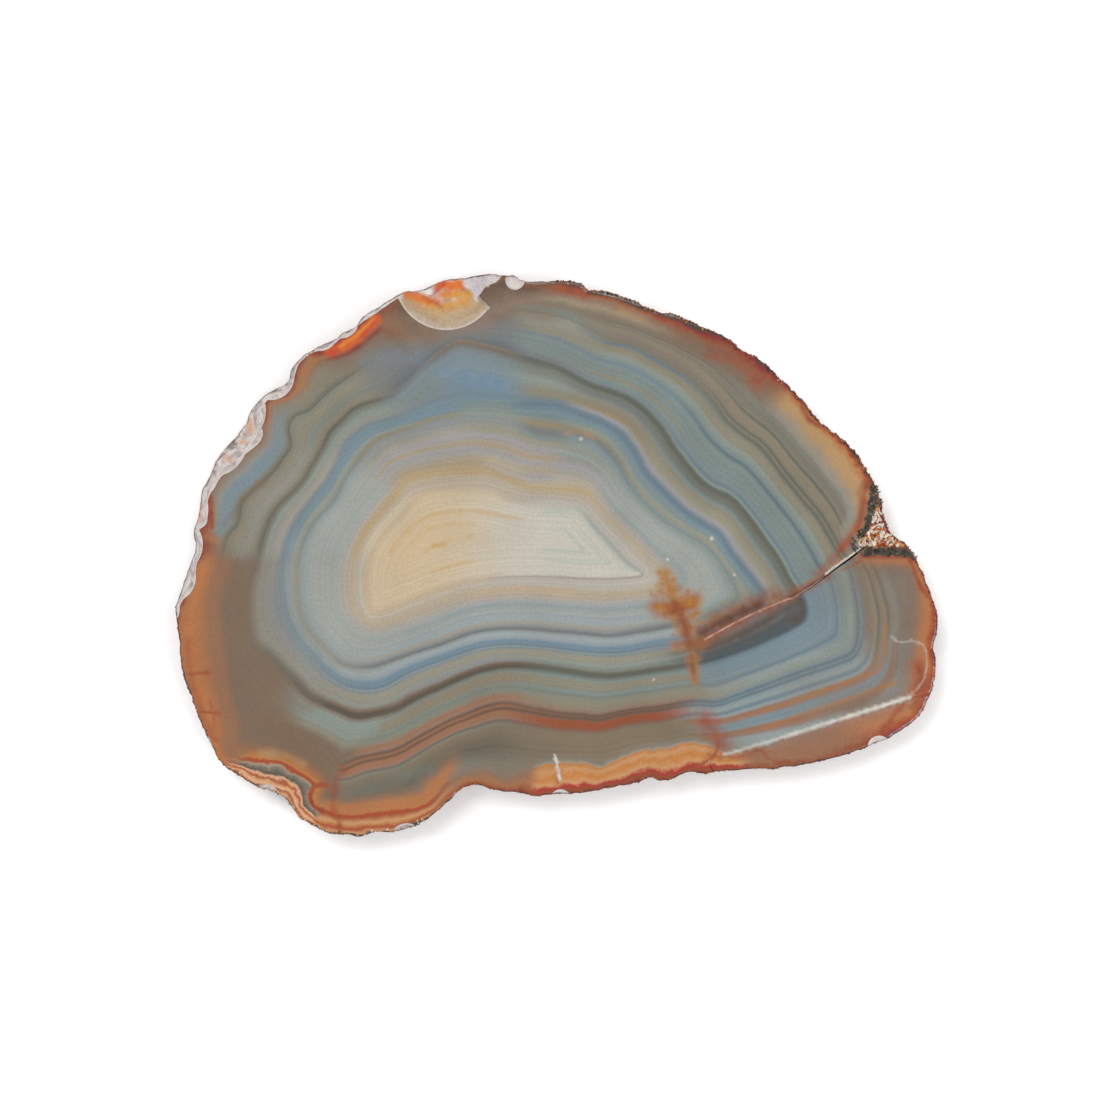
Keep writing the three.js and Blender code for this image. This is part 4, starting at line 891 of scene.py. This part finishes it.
def build_slab():
    """The whole slab as one closed mesh: its upper side, its wall and its sawn underside."""
    lines = detail_lines()
    line_places = np.concatenate(lines)

    def clear_of_lines(points, gap):
        cells = {}
        size = 0.5
        for place in line_places:
            cells.setdefault((int(place[0] // size), int(place[1] // size)), []).append(place)
        keep = np.ones(len(points), bool)
        for i, point in enumerate(points):
            cx, cy = int(point[0] // size), int(point[1] // size)
            for dx in (-1, 0, 1):
                for dy in (-1, 0, 1):
                    for place in cells.get((cx + dx, cy + dy), ()):
                        if abs(place[0] - point[0]) < gap and abs(place[1] - point[1]) < gap:
                            keep[i] = False
        return keep

    middle = grid_points(FACE_STEP, lambda points: ~is_delicate(points) & is_inside(points, rim))
    edge = grid_points(EDGE_STEP, lambda points: is_delicate(points) & (depth_inside(points, rim) > 0.17), 5)
    middle = middle[clear_of_lines(middle, FACE_STEP * 0.3)]
    edge = edge[clear_of_lines(edge, EDGE_STEP * 0.35)]
    flat, faces, loop_places = triangulate(rim, np.concatenate([middle, edge]), lines)
    heights = face_height(flat)
    places = [np.column_stack([flat, heights])]
    zones = [np.zeros(len(flat))]
    all_faces = [faces]

    top = heights[loop_places]
    ring_before = loop_places
    count = len(loop_places)
    total = len(flat)
    lean = np.maximum(outward @ NODULE_LEAN, 0) * LEAN_UNDER
    for ring in range(1, WALL_RINGS + 1):
        height = top * (1 - ring / WALL_RINGS)
        inward = lean * ((1 - height / THICKNESS)**1.5 - (1 - top / THICKNESS)**1.5)
        inward = inward + 0.3 * (1 - smooth_step(height, 0, 0.5))
        ring_points = np.column_stack([rim, height])
        swell = 0.22 * noise(ring_points, 3.4, 9) + 0.14 * noise(ring_points, 1.3,
                                                                 4) + 0.07 * noise(ring_points, 0.5)
        swell = swell - 0.12 - 0.25 * smooth_step(noise(ring_points, 1.7, 31), 0.35, 0.8)
        swell = swell * smooth_step(top - height, 0, 0.8)
        ring_flat = rim + outward * (swell - inward)[:, None]
        if ring == WALL_RINGS:
            under_loop = ring_flat
            break
        places.append(np.column_stack([ring_flat, height]))
        zones.append(np.ones(count))
        ring_now = total + np.arange(count)
        all_faces += wall_faces(ring_before, ring_now)
        ring_before = ring_now
        total += count

    inner = grid_points(UNDER_STEP, lambda points: depth_inside(points, under_loop) > 0.5, 8)
    under, under_faces, under_places = triangulate(under_loop, inner, [])
    places.append(np.column_stack([under, np.zeros(len(under))]))
    zones.append(np.full(len(under), 2.0))
    all_faces += wall_faces(ring_before, total + under_places)
    all_faces.append(under_faces[:, ::-1] + total)
    return np.concatenate(places), np.concatenate(all_faces), np.concatenate(zones)


def wall_faces(upper, lower):
    """Two triangles for each step between an upper and a lower ring, facing outwards."""
    upper_next, lower_next = np.roll(upper, -1), np.roll(lower, -1)
    return [np.column_stack([upper, lower, lower_next]), np.column_stack([upper, lower_next, upper_next])]


def plume_branches():
    """The plume's many thin side branches: longest where it is widest, all about level."""
    chance = np.random.default_rng(4)
    spine = curve_through([(15.7, -3), (16.2, -4.8), (17.1, -7.4), (18.4, -10), (19.3, -13), (19.7, -15.6),
                           (19.9, -18.9)], 0.2, closed=False)
    widths = np.interp(-spine[:, 1], [3, 5, 6.4, 8, 9.6, 11, 13.3, 15, 18.9], [1, 1.7, 3.6, 3.7, 3, 2, 2.6,
                                                                               1.1, 0.6])
    branches = []
    for (x, y), width in zip(spine, widths):
        for side in (-1, 1):
            length = width * chance.uniform(0.35, 1)
            rise = length * chance.uniform(-0.15, 0.45)
            branches.append(([(x, y), (x + side * length * 0.5, y + rise * 0.4), (x + side * length,
                                                                                  y + rise)],
                             0.14, 1, chance.uniform(0.5, 1)))
    return branches


def stroke_mask(points, strokes):
    """How strongly a group of strokes colours each point. Wide soft strokes get a ragged edge."""
    mask = np.zeros(len(points))
    for stroke, half, soft, strength in strokes:
        line = curve_through(stroke, 0.3, closed=False)
        reach = half + soft
        low, high = line.min(axis=0) - reach, line.max(axis=0) + reach
        near = np.flatnonzero(((points > low) & (points < high)).all(axis=1))
        away = line_distance(points[near], line)
        ragged = 0.16 * noise(points[near], max(0.7, soft * 0.8), 2) + 0.1 * noise(points[near], 0.55, 6)
        level = 1 - smooth_step(away + soft * ragged, half - soft / 2, half + soft / 2)
        mask[near] = np.maximum(mask[near], level * strength)
    return mask


def mesh_object(name, places, faces):
    mesh = bpy.data.meshes.new(name)
    mesh.vertices.add(len(places))
    mesh.vertices.foreach_set("co", ((places - MIDDLE) * MM).astype(np.float32).ravel())
    mesh.loops.add(len(faces) * 3)
    mesh.loops.foreach_set("vertex_index", faces.astype(np.int32).ravel())
    mesh.polygons.add(len(faces))
    mesh.polygons.foreach_set("loop_start", np.arange(0, len(faces) * 3, 3, dtype=np.int32))
    mesh.update(calc_edges=True)
    mesh.validate()
    piece = bpy.data.objects.new(name, mesh)
    bpy.context.scene.collection.objects.link(piece)
    return piece


def write_attribute(mesh, name, values):
    attribute = mesh.attributes.new(name, "FLOAT", "POINT")
    attribute.data.foreach_set("value", values.astype(np.float32))


places, faces, zones = build_slab()
slab = mesh_object("agate_slab", places, faces)
plan = places[:, :2]
bands = band_at(plan)
STAINS["plume"] += plume_branches()
write_attribute(slab.data, "band", bands)
write_attribute(slab.data, "east", plan[:, 0] - SECTOR_MIDDLE[0])
write_attribute(slab.data, "north", plan[:, 1] - SECTOR_MIDDLE[1])
write_attribute(slab.data, "margin", margin_at(plan))
write_attribute(slab.data, "crack_side", np.clip(depth_inside(plan, crack_side_loop), -3, 3))
write_attribute(slab.data, "rim_gap", np.clip(depth_inside(plan, rim), -1, 2))
write_attribute(slab.data, "rind", (zones == 1).astype(float))
write_attribute(slab.data, "sawn", (zones == 2).astype(float))
strip = np.clip(-depth_inside(plan, face_edge), -2, 2)
plan_turn = np.degrees(np.arctan2(plan[:, 1], plan[:, 0])) % 360
strip[(plan_turn < 101) | (plan_turn > 196)] = -2
broken_at = np.maximum(strip, np.clip(chip_depth(plan), -2, 2))
is_level = (chip_depth(plan) < 0) & (np.abs(places[:, 2] - THICKNESS) < 0.15)
broken_at[is_level & (broken_at > 0)] = -0.05
broken_at[zones == 2] = -2
write_attribute(slab.data, "broken", broken_at)
for name, strokes in {**STAINS, **CHIP_MARKS}.items():
    mask = stroke_mask(plan, strokes)
    if name in ON_TOP_ONLY:
        mask[zones == 2] = 0
    write_attribute(slab.data, name, mask)
slab.data.shade_smooth()
slab.data.set_sharp_from_angle(angle=math.radians(32))


# Materials.
LIGHT = 1.33
VEIL = 0.042


def linear(hex_colour):
    channels = [int(hex_colour[i:i + 2], 16) / 255 for i in (0, 2, 4)]
    return [c / 12.92 if c <= 0.04045 else ((c + 0.055) / 1.055)**2.4 for c in channels]


def stone_colour(hex_colour):
    """The stone's own colour, so that it looks like the given one under this light and gloss."""
    return tuple(max((c - VEIL) / LIGHT, 0.004) for c in linear(hex_colour)) + (1.0,)


class Wire:
    """A node's socket that takes part in sums."""

    def __init__(self, sheet, socket):
        self.sheet = sheet
        self.socket = socket

    def other(self, name):
        """Another output of the same node."""
        return Wire(self.sheet, self.socket.node.outputs[name])

    def math(self, operation, first, second):
        return self.sheet.make("ShaderNodeMath", {"operation": operation}, {0: first, 1: second})

    def __add__(self, other):
        return self.math("ADD", self, other)

    def __radd__(self, other):
        return self.math("ADD", other, self)

    def __sub__(self, other):
        return self.math("SUBTRACT", self, other)

    def __rsub__(self, other):
        return self.math("SUBTRACT", other, self)

    def __mul__(self, other):
        return self.math("MULTIPLY", self, other)

    def __rmul__(self, other):
        return self.math("MULTIPLY", other, self)

    def __truediv__(self, other):
        return self.math("DIVIDE", self, other)


class Sheet:
    """The nodes of one material or one scattering rule."""

    def __init__(self, tree):
        self.tree = tree
        self.tree.nodes.clear()

    def make(self, kind, settings=None, inputs=None, output=0):
        """A new node: its settings first, then the values or links of its sockets."""
        node = self.tree.nodes.new(kind)
        for key, value in (settings or {}).items():
            if key == "stops":
                fill_ramp(node.color_ramp, value)
            else:
                setattr(node, key, value)
        for key, value in (inputs or {}).items():
            if isinstance(value, Wire):
                self.tree.links.new(value.socket, node.inputs[key])
            else:
                node.inputs[key].default_value = value
        return Wire(self, node.outputs[output]) if len(node.outputs) else None

    def attribute(self, name):
        return self.make("ShaderNodeAttribute", {"attribute_name": name}, output="Fac")

    def between(self, value, low, high, start=0.0, end=1.0):
        """A smooth change from start to end while value goes from low to high."""
        return self.make("ShaderNodeMapRange", {"interpolation_type": "SMOOTHSTEP"},
                         {0: value, 1: low, 2: high, 3: start, 4: end})

    def blend(self, share, first, second, way="MIX"):
        return self.make("ShaderNodeMix", {"data_type": "RGBA", "blend_type": way},
                         {0: share, 6: first, 7: second}, output=2)

    def grain(self, place, size, detail=2.0, rough=0.5, warp=0.0):
        return self.make("ShaderNodeTexNoise", {},
                         {"Vector": place, "Scale": 1 / (size * MM), "Detail": detail, "Roughness": rough,
                          "Distortion": warp})

    def mottle(self, share, colour, value, low, high, dark, light):
        """Darkens and lightens a colour while value goes from low to high."""
        greys = self.ramp(value, [(low, (dark, dark, dark, 1.0)), (high, (light, light, light, 1.0))])
        return self.blend(share, colour, greys, "OVERLAY")

    def ramp(self, value, stops):
        return self.make("ShaderNodeValToRGB", {"stops": stops}, {0: value})


def new_material(name):
    material = bpy.data.materials.new(name)
    material.use_nodes = True
    return material, Sheet(material.node_tree)


def fill_ramp(ramp, stops):
    while len(ramp.elements) > 1:
        ramp.elements.remove(ramp.elements[-1])
    for index, (position, colour) in enumerate(stops):
        element = ramp.elements[0] if index == 0 else ramp.elements.new(position)
        element.position = position
        element.color = colour


def band_stops(bands):
    return [(value, stone_colour(COLOURS[name])) for value, name in bands]


def rim_stops(layers):
    """Ramp stops whose alpha is how much the stain covers the bands."""
    return [(value / 2, stone_colour(COLOURS[name])[:3] + (cover,)) for value, name, cover in layers]


def near_the_crack(sheet, turn):
    """Two shares for the part of the stone by the crack: above it, and below it."""
    near = sheet.make("ShaderNodeMath", {"operation": "MAXIMUM"},
                      {0: sheet.between(turn, 329, 335), 1: sheet.between(turn, 20, 10)})
    above = sheet.between(sheet.attribute("crack_side"), -0.12, 0.12)
    return near * above, near * (1 - above)


def banded_colour(sheet, band, turn):
    """The bands all round the stone, and across the crack at its right."""

    def bands_of(outer_bands, inner_bands):
        return sheet.blend(sheet.between(band, 0.496, 0.504), sheet.ramp(band, band_stops(outer_bands)),
                           sheet.ramp(band, band_stops(inner_bands)))

    colour = upper_side = bands_of(EAST_OUTER, EAST_INNER)
    inside = sheet.between(band, 0.27, 0.34)
    for start, width, later_inside, outer_bands, inner_bands in SECTORS:
        share = sheet.between(turn - inside * later_inside, start - width / 2, start + width / 2)
        colour = sheet.blend(share, colour, bands_of(outer_bands, inner_bands))
    lobe = sheet.make("ShaderNodeMath", {"operation": "MAXIMUM"},
                      {0: sheet.between(turn, 341, 349), 1: sheet.between(turn, 20, 10)})
    lower_side = sheet.blend(lobe, bands_of(SOUTH_EAST_OUTER, SOUTH_EAST_INNER),
                             bands_of(LOBE_OUTER, SOUTH_EAST_INNER))
    above, below = near_the_crack(sheet, turn)
    colour = sheet.blend(below, sheet.blend(above, colour, upper_side), lower_side)
    warm_side = sheet.between(sheet.attribute("east"), 1, -15) * sheet.between(band, 0.76, 0.88)
    return sheet.blend(warm_side * 0.62, colour, stone_colour("C8AC80"))


def stain_the_rim(sheet, colour, turn, uneven):
    """Covers the bands near the rim with its rusty, sooty and chalky layers."""
    margin = sheet.attribute("margin")
    margin = (margin + uneven * sheet.between(margin, 0.9, 1.3, 1.0, 0.2)) * 0.5
    above, below = near_the_crack(sheet, turn)
    stain = sheet.ramp(margin, rim_stops(RIM_EAST))
    cover = stain.other("Alpha")
    for start, width, layers in RIM_SECTORS + [(above, 0, RIM_EAST), (below, 0, RIM_LOBE)]:
        share = sheet.between(turn, start - width / 2, start + width / 2) if width else start
        layer = sheet.ramp(margin, rim_stops(layers))
        stain = sheet.blend(share, stain, layer)
        cover = cover + (layer.other("Alpha") - cover) * share
    return sheet.blend(cover, colour, stain)


def agate_material():
    material, sheet = new_material("banded agate")
    place = sheet.make("ShaderNodeTexCoord", output="Object")
    angle = sheet.make("ShaderNodeMath", {"operation": "ARCTAN2"},
                       {0: sheet.attribute("north"), 1: sheet.attribute("east")})
    turn = sheet.make("ShaderNodeMath", {"operation": "WRAP"}, {0: angle * math.degrees(1), 1: 360.0,
                                                                2: 0.0})
    wander = sheet.grain(place, 5, 3) - 0.5
    fine_wander = sheet.grain(place, 1.4, 2) - 0.5
    speck = sheet.grain(place, 0.4, 3, 0.65)
    patchy = sheet.grain(place, 1.6, 4, 0.6)
    wavy_turn = turn + wander * 10
    band = sheet.attribute("band") + wander * 0.007 + fine_wander * 0.003
    colour = banded_colour(sheet, band, wavy_turn)

    # Thin layers within the bands, and the fine mottling of the polished face.
    layers = sheet.make("ShaderNodeTexNoise", {"noise_dimensions": "1D"},
                        {"W": band * 90, "Scale": 1.0, "Detail": 2.0})
    colour = sheet.mottle(0.3, colour, layers, 0.3, 0.7, 0.42, 0.58)
    colour = stain_the_rim(sheet, colour, turn + wander * 5,
                           wander * 0.4 + fine_wander * 0.3 + (speck - 0.5) * 0.12)
    colour = sheet.mottle(0.35, colour, speck, 0.25, 0.75, 0.35, 0.65)
    broad = sheet.grain(place, 7, 2)
    colour = sheet.mottle(0.25, colour, broad, 0.3, 0.7, 0.4, 0.6)

    def painted(base, names, colours):
        for name in names:
            first, second = colours[name]
            tint = sheet.blend(sheet.between(patchy, 0.35, 0.65), stone_colour(first), stone_colour(second))
            mask = sheet.attribute(name) * (0.95 + patchy * 0.5 + (speck - 0.5) * 0.3)
            base = sheet.blend(mask, base, tint)
        return base

    # The stains and veins, and the painted highlights and painted shadow line along the ledge's step and the
    # crack.
    colour = painted(colour, STAINS, STAIN_COLOURS)

    # The fresh broken faces: chalky pink and grey, white at the lip, with orange stains.
    chip_noise = sheet.grain(place, 1.7, 4, 0.65, 0.8)
    chip = sheet.ramp(chip_noise, [(0.32, stone_colour("8C7F7C")), (0.42, stone_colour("B3A6A3")),
                                   (0.52, stone_colour("CFC4C1")), (0.6, stone_colour("E2DAD6")),
                                   (0.68, stone_colour("C9B3A6"))])
    broken = sheet.attribute("broken")
    chip = painted(chip, CHIP_MARKS, CHIP_MARK_COLOURS)
    lip = sheet.between(broken + fine_wander * 0.5, 0.06, 0.5, 1.0, 0.0)
    chip = sheet.blend(lip * 0.55, chip, stone_colour("E2DCD6"))
    chip = sheet.mottle(0.35, chip, speck, 0.25, 0.75, 0.3, 0.7)
    on_chip = sheet.between(broken, -0.03, 0.05)
    colour = sheet.blend(on_chip, colour, chip)

    # The dark skin that shows as a thin uneven line round the rim.
    skin = sheet.between(sheet.attribute("rim_gap") + (patchy - 0.5) * 0.7 + (speck - 0.5) * 0.2, 0.26, 0.06)
    skin_colour = sheet.blend(sheet.between(patchy, 0.4, 0.6), stone_colour("4E423A"),
                              stone_colour("7E5238"))
    colour = sheet.blend(skin * 0.8, colour, skin_colour)

    # The rough rind round the wall.
    rind_noise = sheet.grain(place, 2.2, 5, 0.65)
    rind_colour = sheet.ramp(rind_noise, [(0.28, stone_colour("3F352E")), (0.42, stone_colour("6B4630")),
                                          (0.52, stone_colour("85583B")), (0.6, stone_colour("96765A")),
                                          (0.72, stone_colour("AD9F8C"))])
    rind_colour = sheet.mottle(0.8, rind_colour, speck, 0.25, 0.75, 0.25, 0.75)
    rind = sheet.attribute("rind")
    colour = sheet.blend(rind, colour, rind_colour)
    sawn = sheet.attribute("sawn")
    colour = sheet.blend(sawn * 0.35, colour, stone_colour("A9A59B"))

    rough_part = sheet.make("ShaderNodeMath", {"operation": "MAXIMUM"}, {0: rind, 1: on_chip})
    roughness = 0.13 + speck * 0.08 + rough_part * 0.45 + sawn * 0.35
    dents = sheet.grain(place, 0.35, 4, 0.7)
    pits = sheet.grain(place, 1.1, 4, 0.7)
    saw_marks = sheet.make("ShaderNodeTexNoise", {}, {"Vector": place, "Scale": 600.0, "Detail": 1.0})
    height = (dents * 0.6 + pits * 1.2) * rough_part + saw_marks * sawn * 0.3 + dents * 0.01
    normal = sheet.make("ShaderNodeBump", {}, {"Strength": 0.6, "Distance": 0.00025, "Height": height})
    surface = sheet.make("ShaderNodeBsdfPrincipled", {},
                         {"Base Color": colour, "Roughness": roughness, "Normal": normal, "IOR": 1.54})
    sheet.make("ShaderNodeOutputMaterial", {}, {"Surface": surface})
    return material


slab.data.materials.append(agate_material())
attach(slab, "root")
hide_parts("agate_slice")


# The rough crystals that cover the pocket and the rind.
def crystal_material(name, stops, rough):
    """Grains whose colour runs along the stops by chance, from each grain's own tint."""
    material, sheet = new_material(name)
    place = sheet.make("ShaderNodeTexCoord", output="Object")
    cloudy = sheet.grain(place, 0.9, 3, 0.6)
    shade = sheet.attribute("tint") * 0.75 + cloudy * 0.5 - 0.12
    colour = sheet.ramp(shade, [(value, stone_colour(code)) for value, code in stops])
    fine = sheet.grain(place, 0.12, 2)
    colour = sheet.mottle(0.4, colour, fine, 0.3, 0.7, 0.35, 0.65)
    bump = sheet.make("ShaderNodeBump", {}, {"Strength": 0.4, "Distance": 0.00005, "Height": fine})
    surface = sheet.make("ShaderNodeBsdfPrincipled", {},
                         {"Base Color": colour, "Roughness": rough + fine * 0.15, "Normal": bump,
                          "IOR": 1.54})
    sheet.make("ShaderNodeOutputMaterial", {}, {"Surface": surface})
    return material


def scatter_rule(name, shape, material):
    """Geometry nodes that strew one small crystal over a surface, each turned and sized by chance."""
    tree = bpy.data.node_groups.new(name, "GeometryNodeTree")
    tree.interface.new_socket("Surface", in_out="INPUT", socket_type="NodeSocketGeometry")
    for label in ("Grains per square metre", "Smallest", "Largest", "Tilt"):
        tree.interface.new_socket(label, in_out="INPUT", socket_type="NodeSocketFloat")
    tree.interface.new_socket("Seed", in_out="INPUT", socket_type="NodeSocketInt")
    tree.interface.new_socket("Crust", in_out="OUTPUT", socket_type="NodeSocketGeometry")
    sheet = Sheet(tree)

    def given(label):
        return sheet.make("NodeGroupInput", output=label)

    spread = sheet.make("GeometryNodeDistributePointsOnFaces", {},
                        {"Mesh": given("Surface"), "Density": given("Grains per square metre"),
                         "Seed": given("Seed")})
    tint = sheet.make("FunctionNodeRandomValue", {"data_type": "FLOAT"}, {"Seed": given("Seed")}, output=1)
    points = sheet.make("GeometryNodeStoreNamedAttribute", {"data_type": "FLOAT", "domain": "POINT"},
                        {"Geometry": spread, "Name": "tint", "Value": tint})
    tilt = given("Tilt")
    tip = sheet.make("FunctionNodeRandomValue", {"data_type": "FLOAT_VECTOR"},
                     {0: 0 - tilt, 1: tilt, "Seed": given("Seed") + 1})
    turned = sheet.make("FunctionNodeRotateRotation", {"rotation_space": "LOCAL"},
                        {"Rotation": spread.other("Rotation"),
                         "Rotate By": sheet.make("FunctionNodeEulerToRotation", {}, {0: tip})})
    size = sheet.make("FunctionNodeRandomValue", {"data_type": "FLOAT_VECTOR"},
                      {0: given("Smallest"), 1: given("Largest"), "Seed": given("Seed") + 2})
    if shape == "crystal":
        grain = sheet.make("GeometryNodeMeshCone", {},
                           {"Vertices": 6, "Radius Top": 0.1, "Radius Bottom": 0.42, "Depth": 1.3})
    else:
        grain = sheet.make("GeometryNodeMeshIcoSphere", {}, {"Radius": 0.5, "Subdivisions": 1})
    grains = sheet.make("GeometryNodeInstanceOnPoints", {},
                        {"Points": points, "Instance": grain, "Rotation": turned, "Scale": size})
    solid = sheet.make("GeometryNodeRealizeInstances", {}, {"Geometry": grains})
    finished = sheet.make("GeometryNodeSetMaterial", {}, {"Geometry": solid, "Material": material})
    sheet.make("NodeGroupOutput", {}, {"Crust": finished})
    return tree


def grow_crust(name, chosen, tree, density, smallest, largest, tilt, seed):
    """Strews a rule's crystals over the chosen faces of the slab, as a plain mesh piece."""
    used, new_faces = np.unique(faces[chosen], return_inverse=True)
    piece = mesh_object(name, places[used], new_faces.reshape(-1, 3))
    modifier = piece.modifiers.new("crust", "NODES")
    modifier.node_group = tree
    sockets = {item.name: item.identifier for item in tree.interface.items_tree if item.in_out == "INPUT"}
    modifier[sockets["Grains per square metre"]] = density / MM**2
    modifier[sockets["Smallest"]] = smallest * MM
    modifier[sockets["Largest"]] = largest * MM
    modifier[sockets["Tilt"]] = tilt
    modifier[sockets["Seed"]] = seed
    graph = bpy.context.evaluated_depsgraph_get()
    grown = bpy.data.meshes.new_from_object(piece.evaluated_get(graph), preserve_all_data_layers=True,
                                            depsgraph=graph)
    piece.modifiers.clear()
    piece.data = grown
    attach(piece, "root")


def build_crusts():
    """Pale quartz in the pocket, its dark rind, and rough grains along the rim."""
    face_middles = places[faces].mean(axis=1)
    flat_middles = face_middles[:, :2]
    pocket = depth_inside(flat_middles, pocket_edge)
    gap = depth_inside(flat_middles, rim)
    turn = np.degrees(np.arctan2(flat_middles[:, 1], flat_middles[:, 0])) % 360
    up = face_middles[:, 2] > 4
    around_pocket = np.abs(pocket + 0.55) < 0.5
    around_pocket |= stroke_mask(flat_middles, STAINS["soot"][:2]) > 0.4
    near_top = face_middles[:, 2] > THICKNESS - 1.6

    quartz = crystal_material("pocket quartz", [(0.2, "F4EADD"), (0.45, "EED8BE"), (0.6, "DFA878"),
                                                (0.75, "D07840"), (0.92, "A84A30")], 0.22)
    dark = crystal_material("dark rind", [(0.15, "2F2E2D"), (0.45, "504C47"), (0.7, "6E655B"),
                                          (0.9, "8C8277")], 0.4)
    rusty = crystal_material("rusty rind", [(0.15, "3A322D"), (0.4, "6A4634"), (0.6, "96543A"),
                                            (0.8, "B0774F"),
                                            (0.95, "C9A98C")], 0.5)
    chalky = crystal_material("chalky rind", [(0.15, "5A4A40"), (0.35, "A06A45"), (0.55, "CFA07A"),
                                              (0.75, "DCCBBB"),
                                              (0.95, "E6DED6")], 0.5)
    crystals = {name: scatter_rule(name, "crystal", material)
                for name, material in (("quartz points", quartz), ("dark points", dark))}
    grow_crust("pocket_quartz", up & (pocket > 0.1) & (gap > 0.55), crystals["quartz points"], 6.5, 0.3,
               1.05, 0.8, 3)
    grow_crust("pocket_rind", up & around_pocket & (pocket < 0), crystals["dark points"], 6.0, 0.2, 0.5, 1.0,
               5)
    pebbly = scatter_rule("rusty grains", "pebble", rusty)
    crusted = near_top & (gap < 0.34) & (turn > 3) & (turn < 90)
    grow_crust("north_east_crust", crusted, pebbly, 4.5, 0.16, 0.55, 3.1, 7)
    elsewhere = near_top & (gap < 0.22) & ((turn > 244) | (turn < 3) | ((turn > 180) & (turn < 213)))
    grow_crust("rim_grains", elsewhere, pebbly, 2.2, 0.12, 0.4, 3.1, 9)
    corner = near_top & (gap < 0.5) & (turn > 213) & (turn < 244)
    grow_crust("corner_crust", corner, scatter_rule("chalky grains", "pebble", chalky), 3.0, 0.14, 0.5, 3.1,
               11)


build_crusts()


# The stage: a pale floor, soft light and the camera straight above.
def flat_material(name, colour, rough):
    material, sheet = new_material(name)
    place = sheet.make("ShaderNodeTexCoord", output="Object")
    tone = sheet.grain(place, 2, 3)
    shade = sheet.blend(sheet.between(tone, 0.3, 0.7, 0.0, 1.0), tuple(0.98 * c for c in colour) + (1,),
                        colour + (1,))
    surface = sheet.make("ShaderNodeBsdfPrincipled", {},
                         {"Base Color": shade, "Roughness": rough, "Specular IOR Level": 0.2})
    sheet.make("ShaderNodeOutputMaterial", {}, {"Surface": surface})
    return material


def build_floor():
    half = 1500.0
    corners = np.array([[-half, -half, -0.02], [half, -half, -0.02], [half, half, -0.02],
                        [-half, half, -0.02]])
    floor = mesh_object("floor", corners, np.array([[0, 1, 2], [0, 2, 3]]))
    floor.data.materials.append(flat_material("white table", (0.93, 0.93, 0.93), 0.8))


def build_light(name, place, size, watts):
    lamp = bpy.data.lights.new(name, "AREA")
    lamp.shape = "SQUARE"
    lamp.size = size
    lamp.energy = watts
    holder = bpy.data.objects.new(name, lamp)
    holder.location = place
    holder.rotation_euler = (-Vector(place)).to_track_quat("-Z", "Y").to_euler()
    bpy.context.scene.collection.objects.link(holder)


def build_stage():
    build_floor()
    world = bpy.data.worlds.new("studio")
    bpy.context.scene.world = world
    world.use_nodes = True
    background = world.node_tree.nodes["Background"]
    background.inputs["Color"].default_value = (1.0, 1.0, 1.0, 1.0)
    background.inputs["Strength"].default_value = 0.85
    build_light("key", (-0.45, 0.55, 1.15), 0.65, 9.0)
    build_light("fill", (0.6, -0.35, 1.0), 0.5, 4.0)
    camera = bpy.data.cameras.new("camera")
    camera.lens = 100
    camera.sensor_width = 36
    holder = bpy.data.objects.new("camera", camera)
    holder.location = ((-0.94 - MIDDLE[0]) * MM, (0.29 - MIDDLE[1]) * MM, (THICKNESS + 440.6) * MM)
    bpy.context.scene.collection.objects.link(holder)
    bpy.context.scene.camera = holder
    bpy.context.scene.view_settings.view_transform = "Standard"


build_stage()
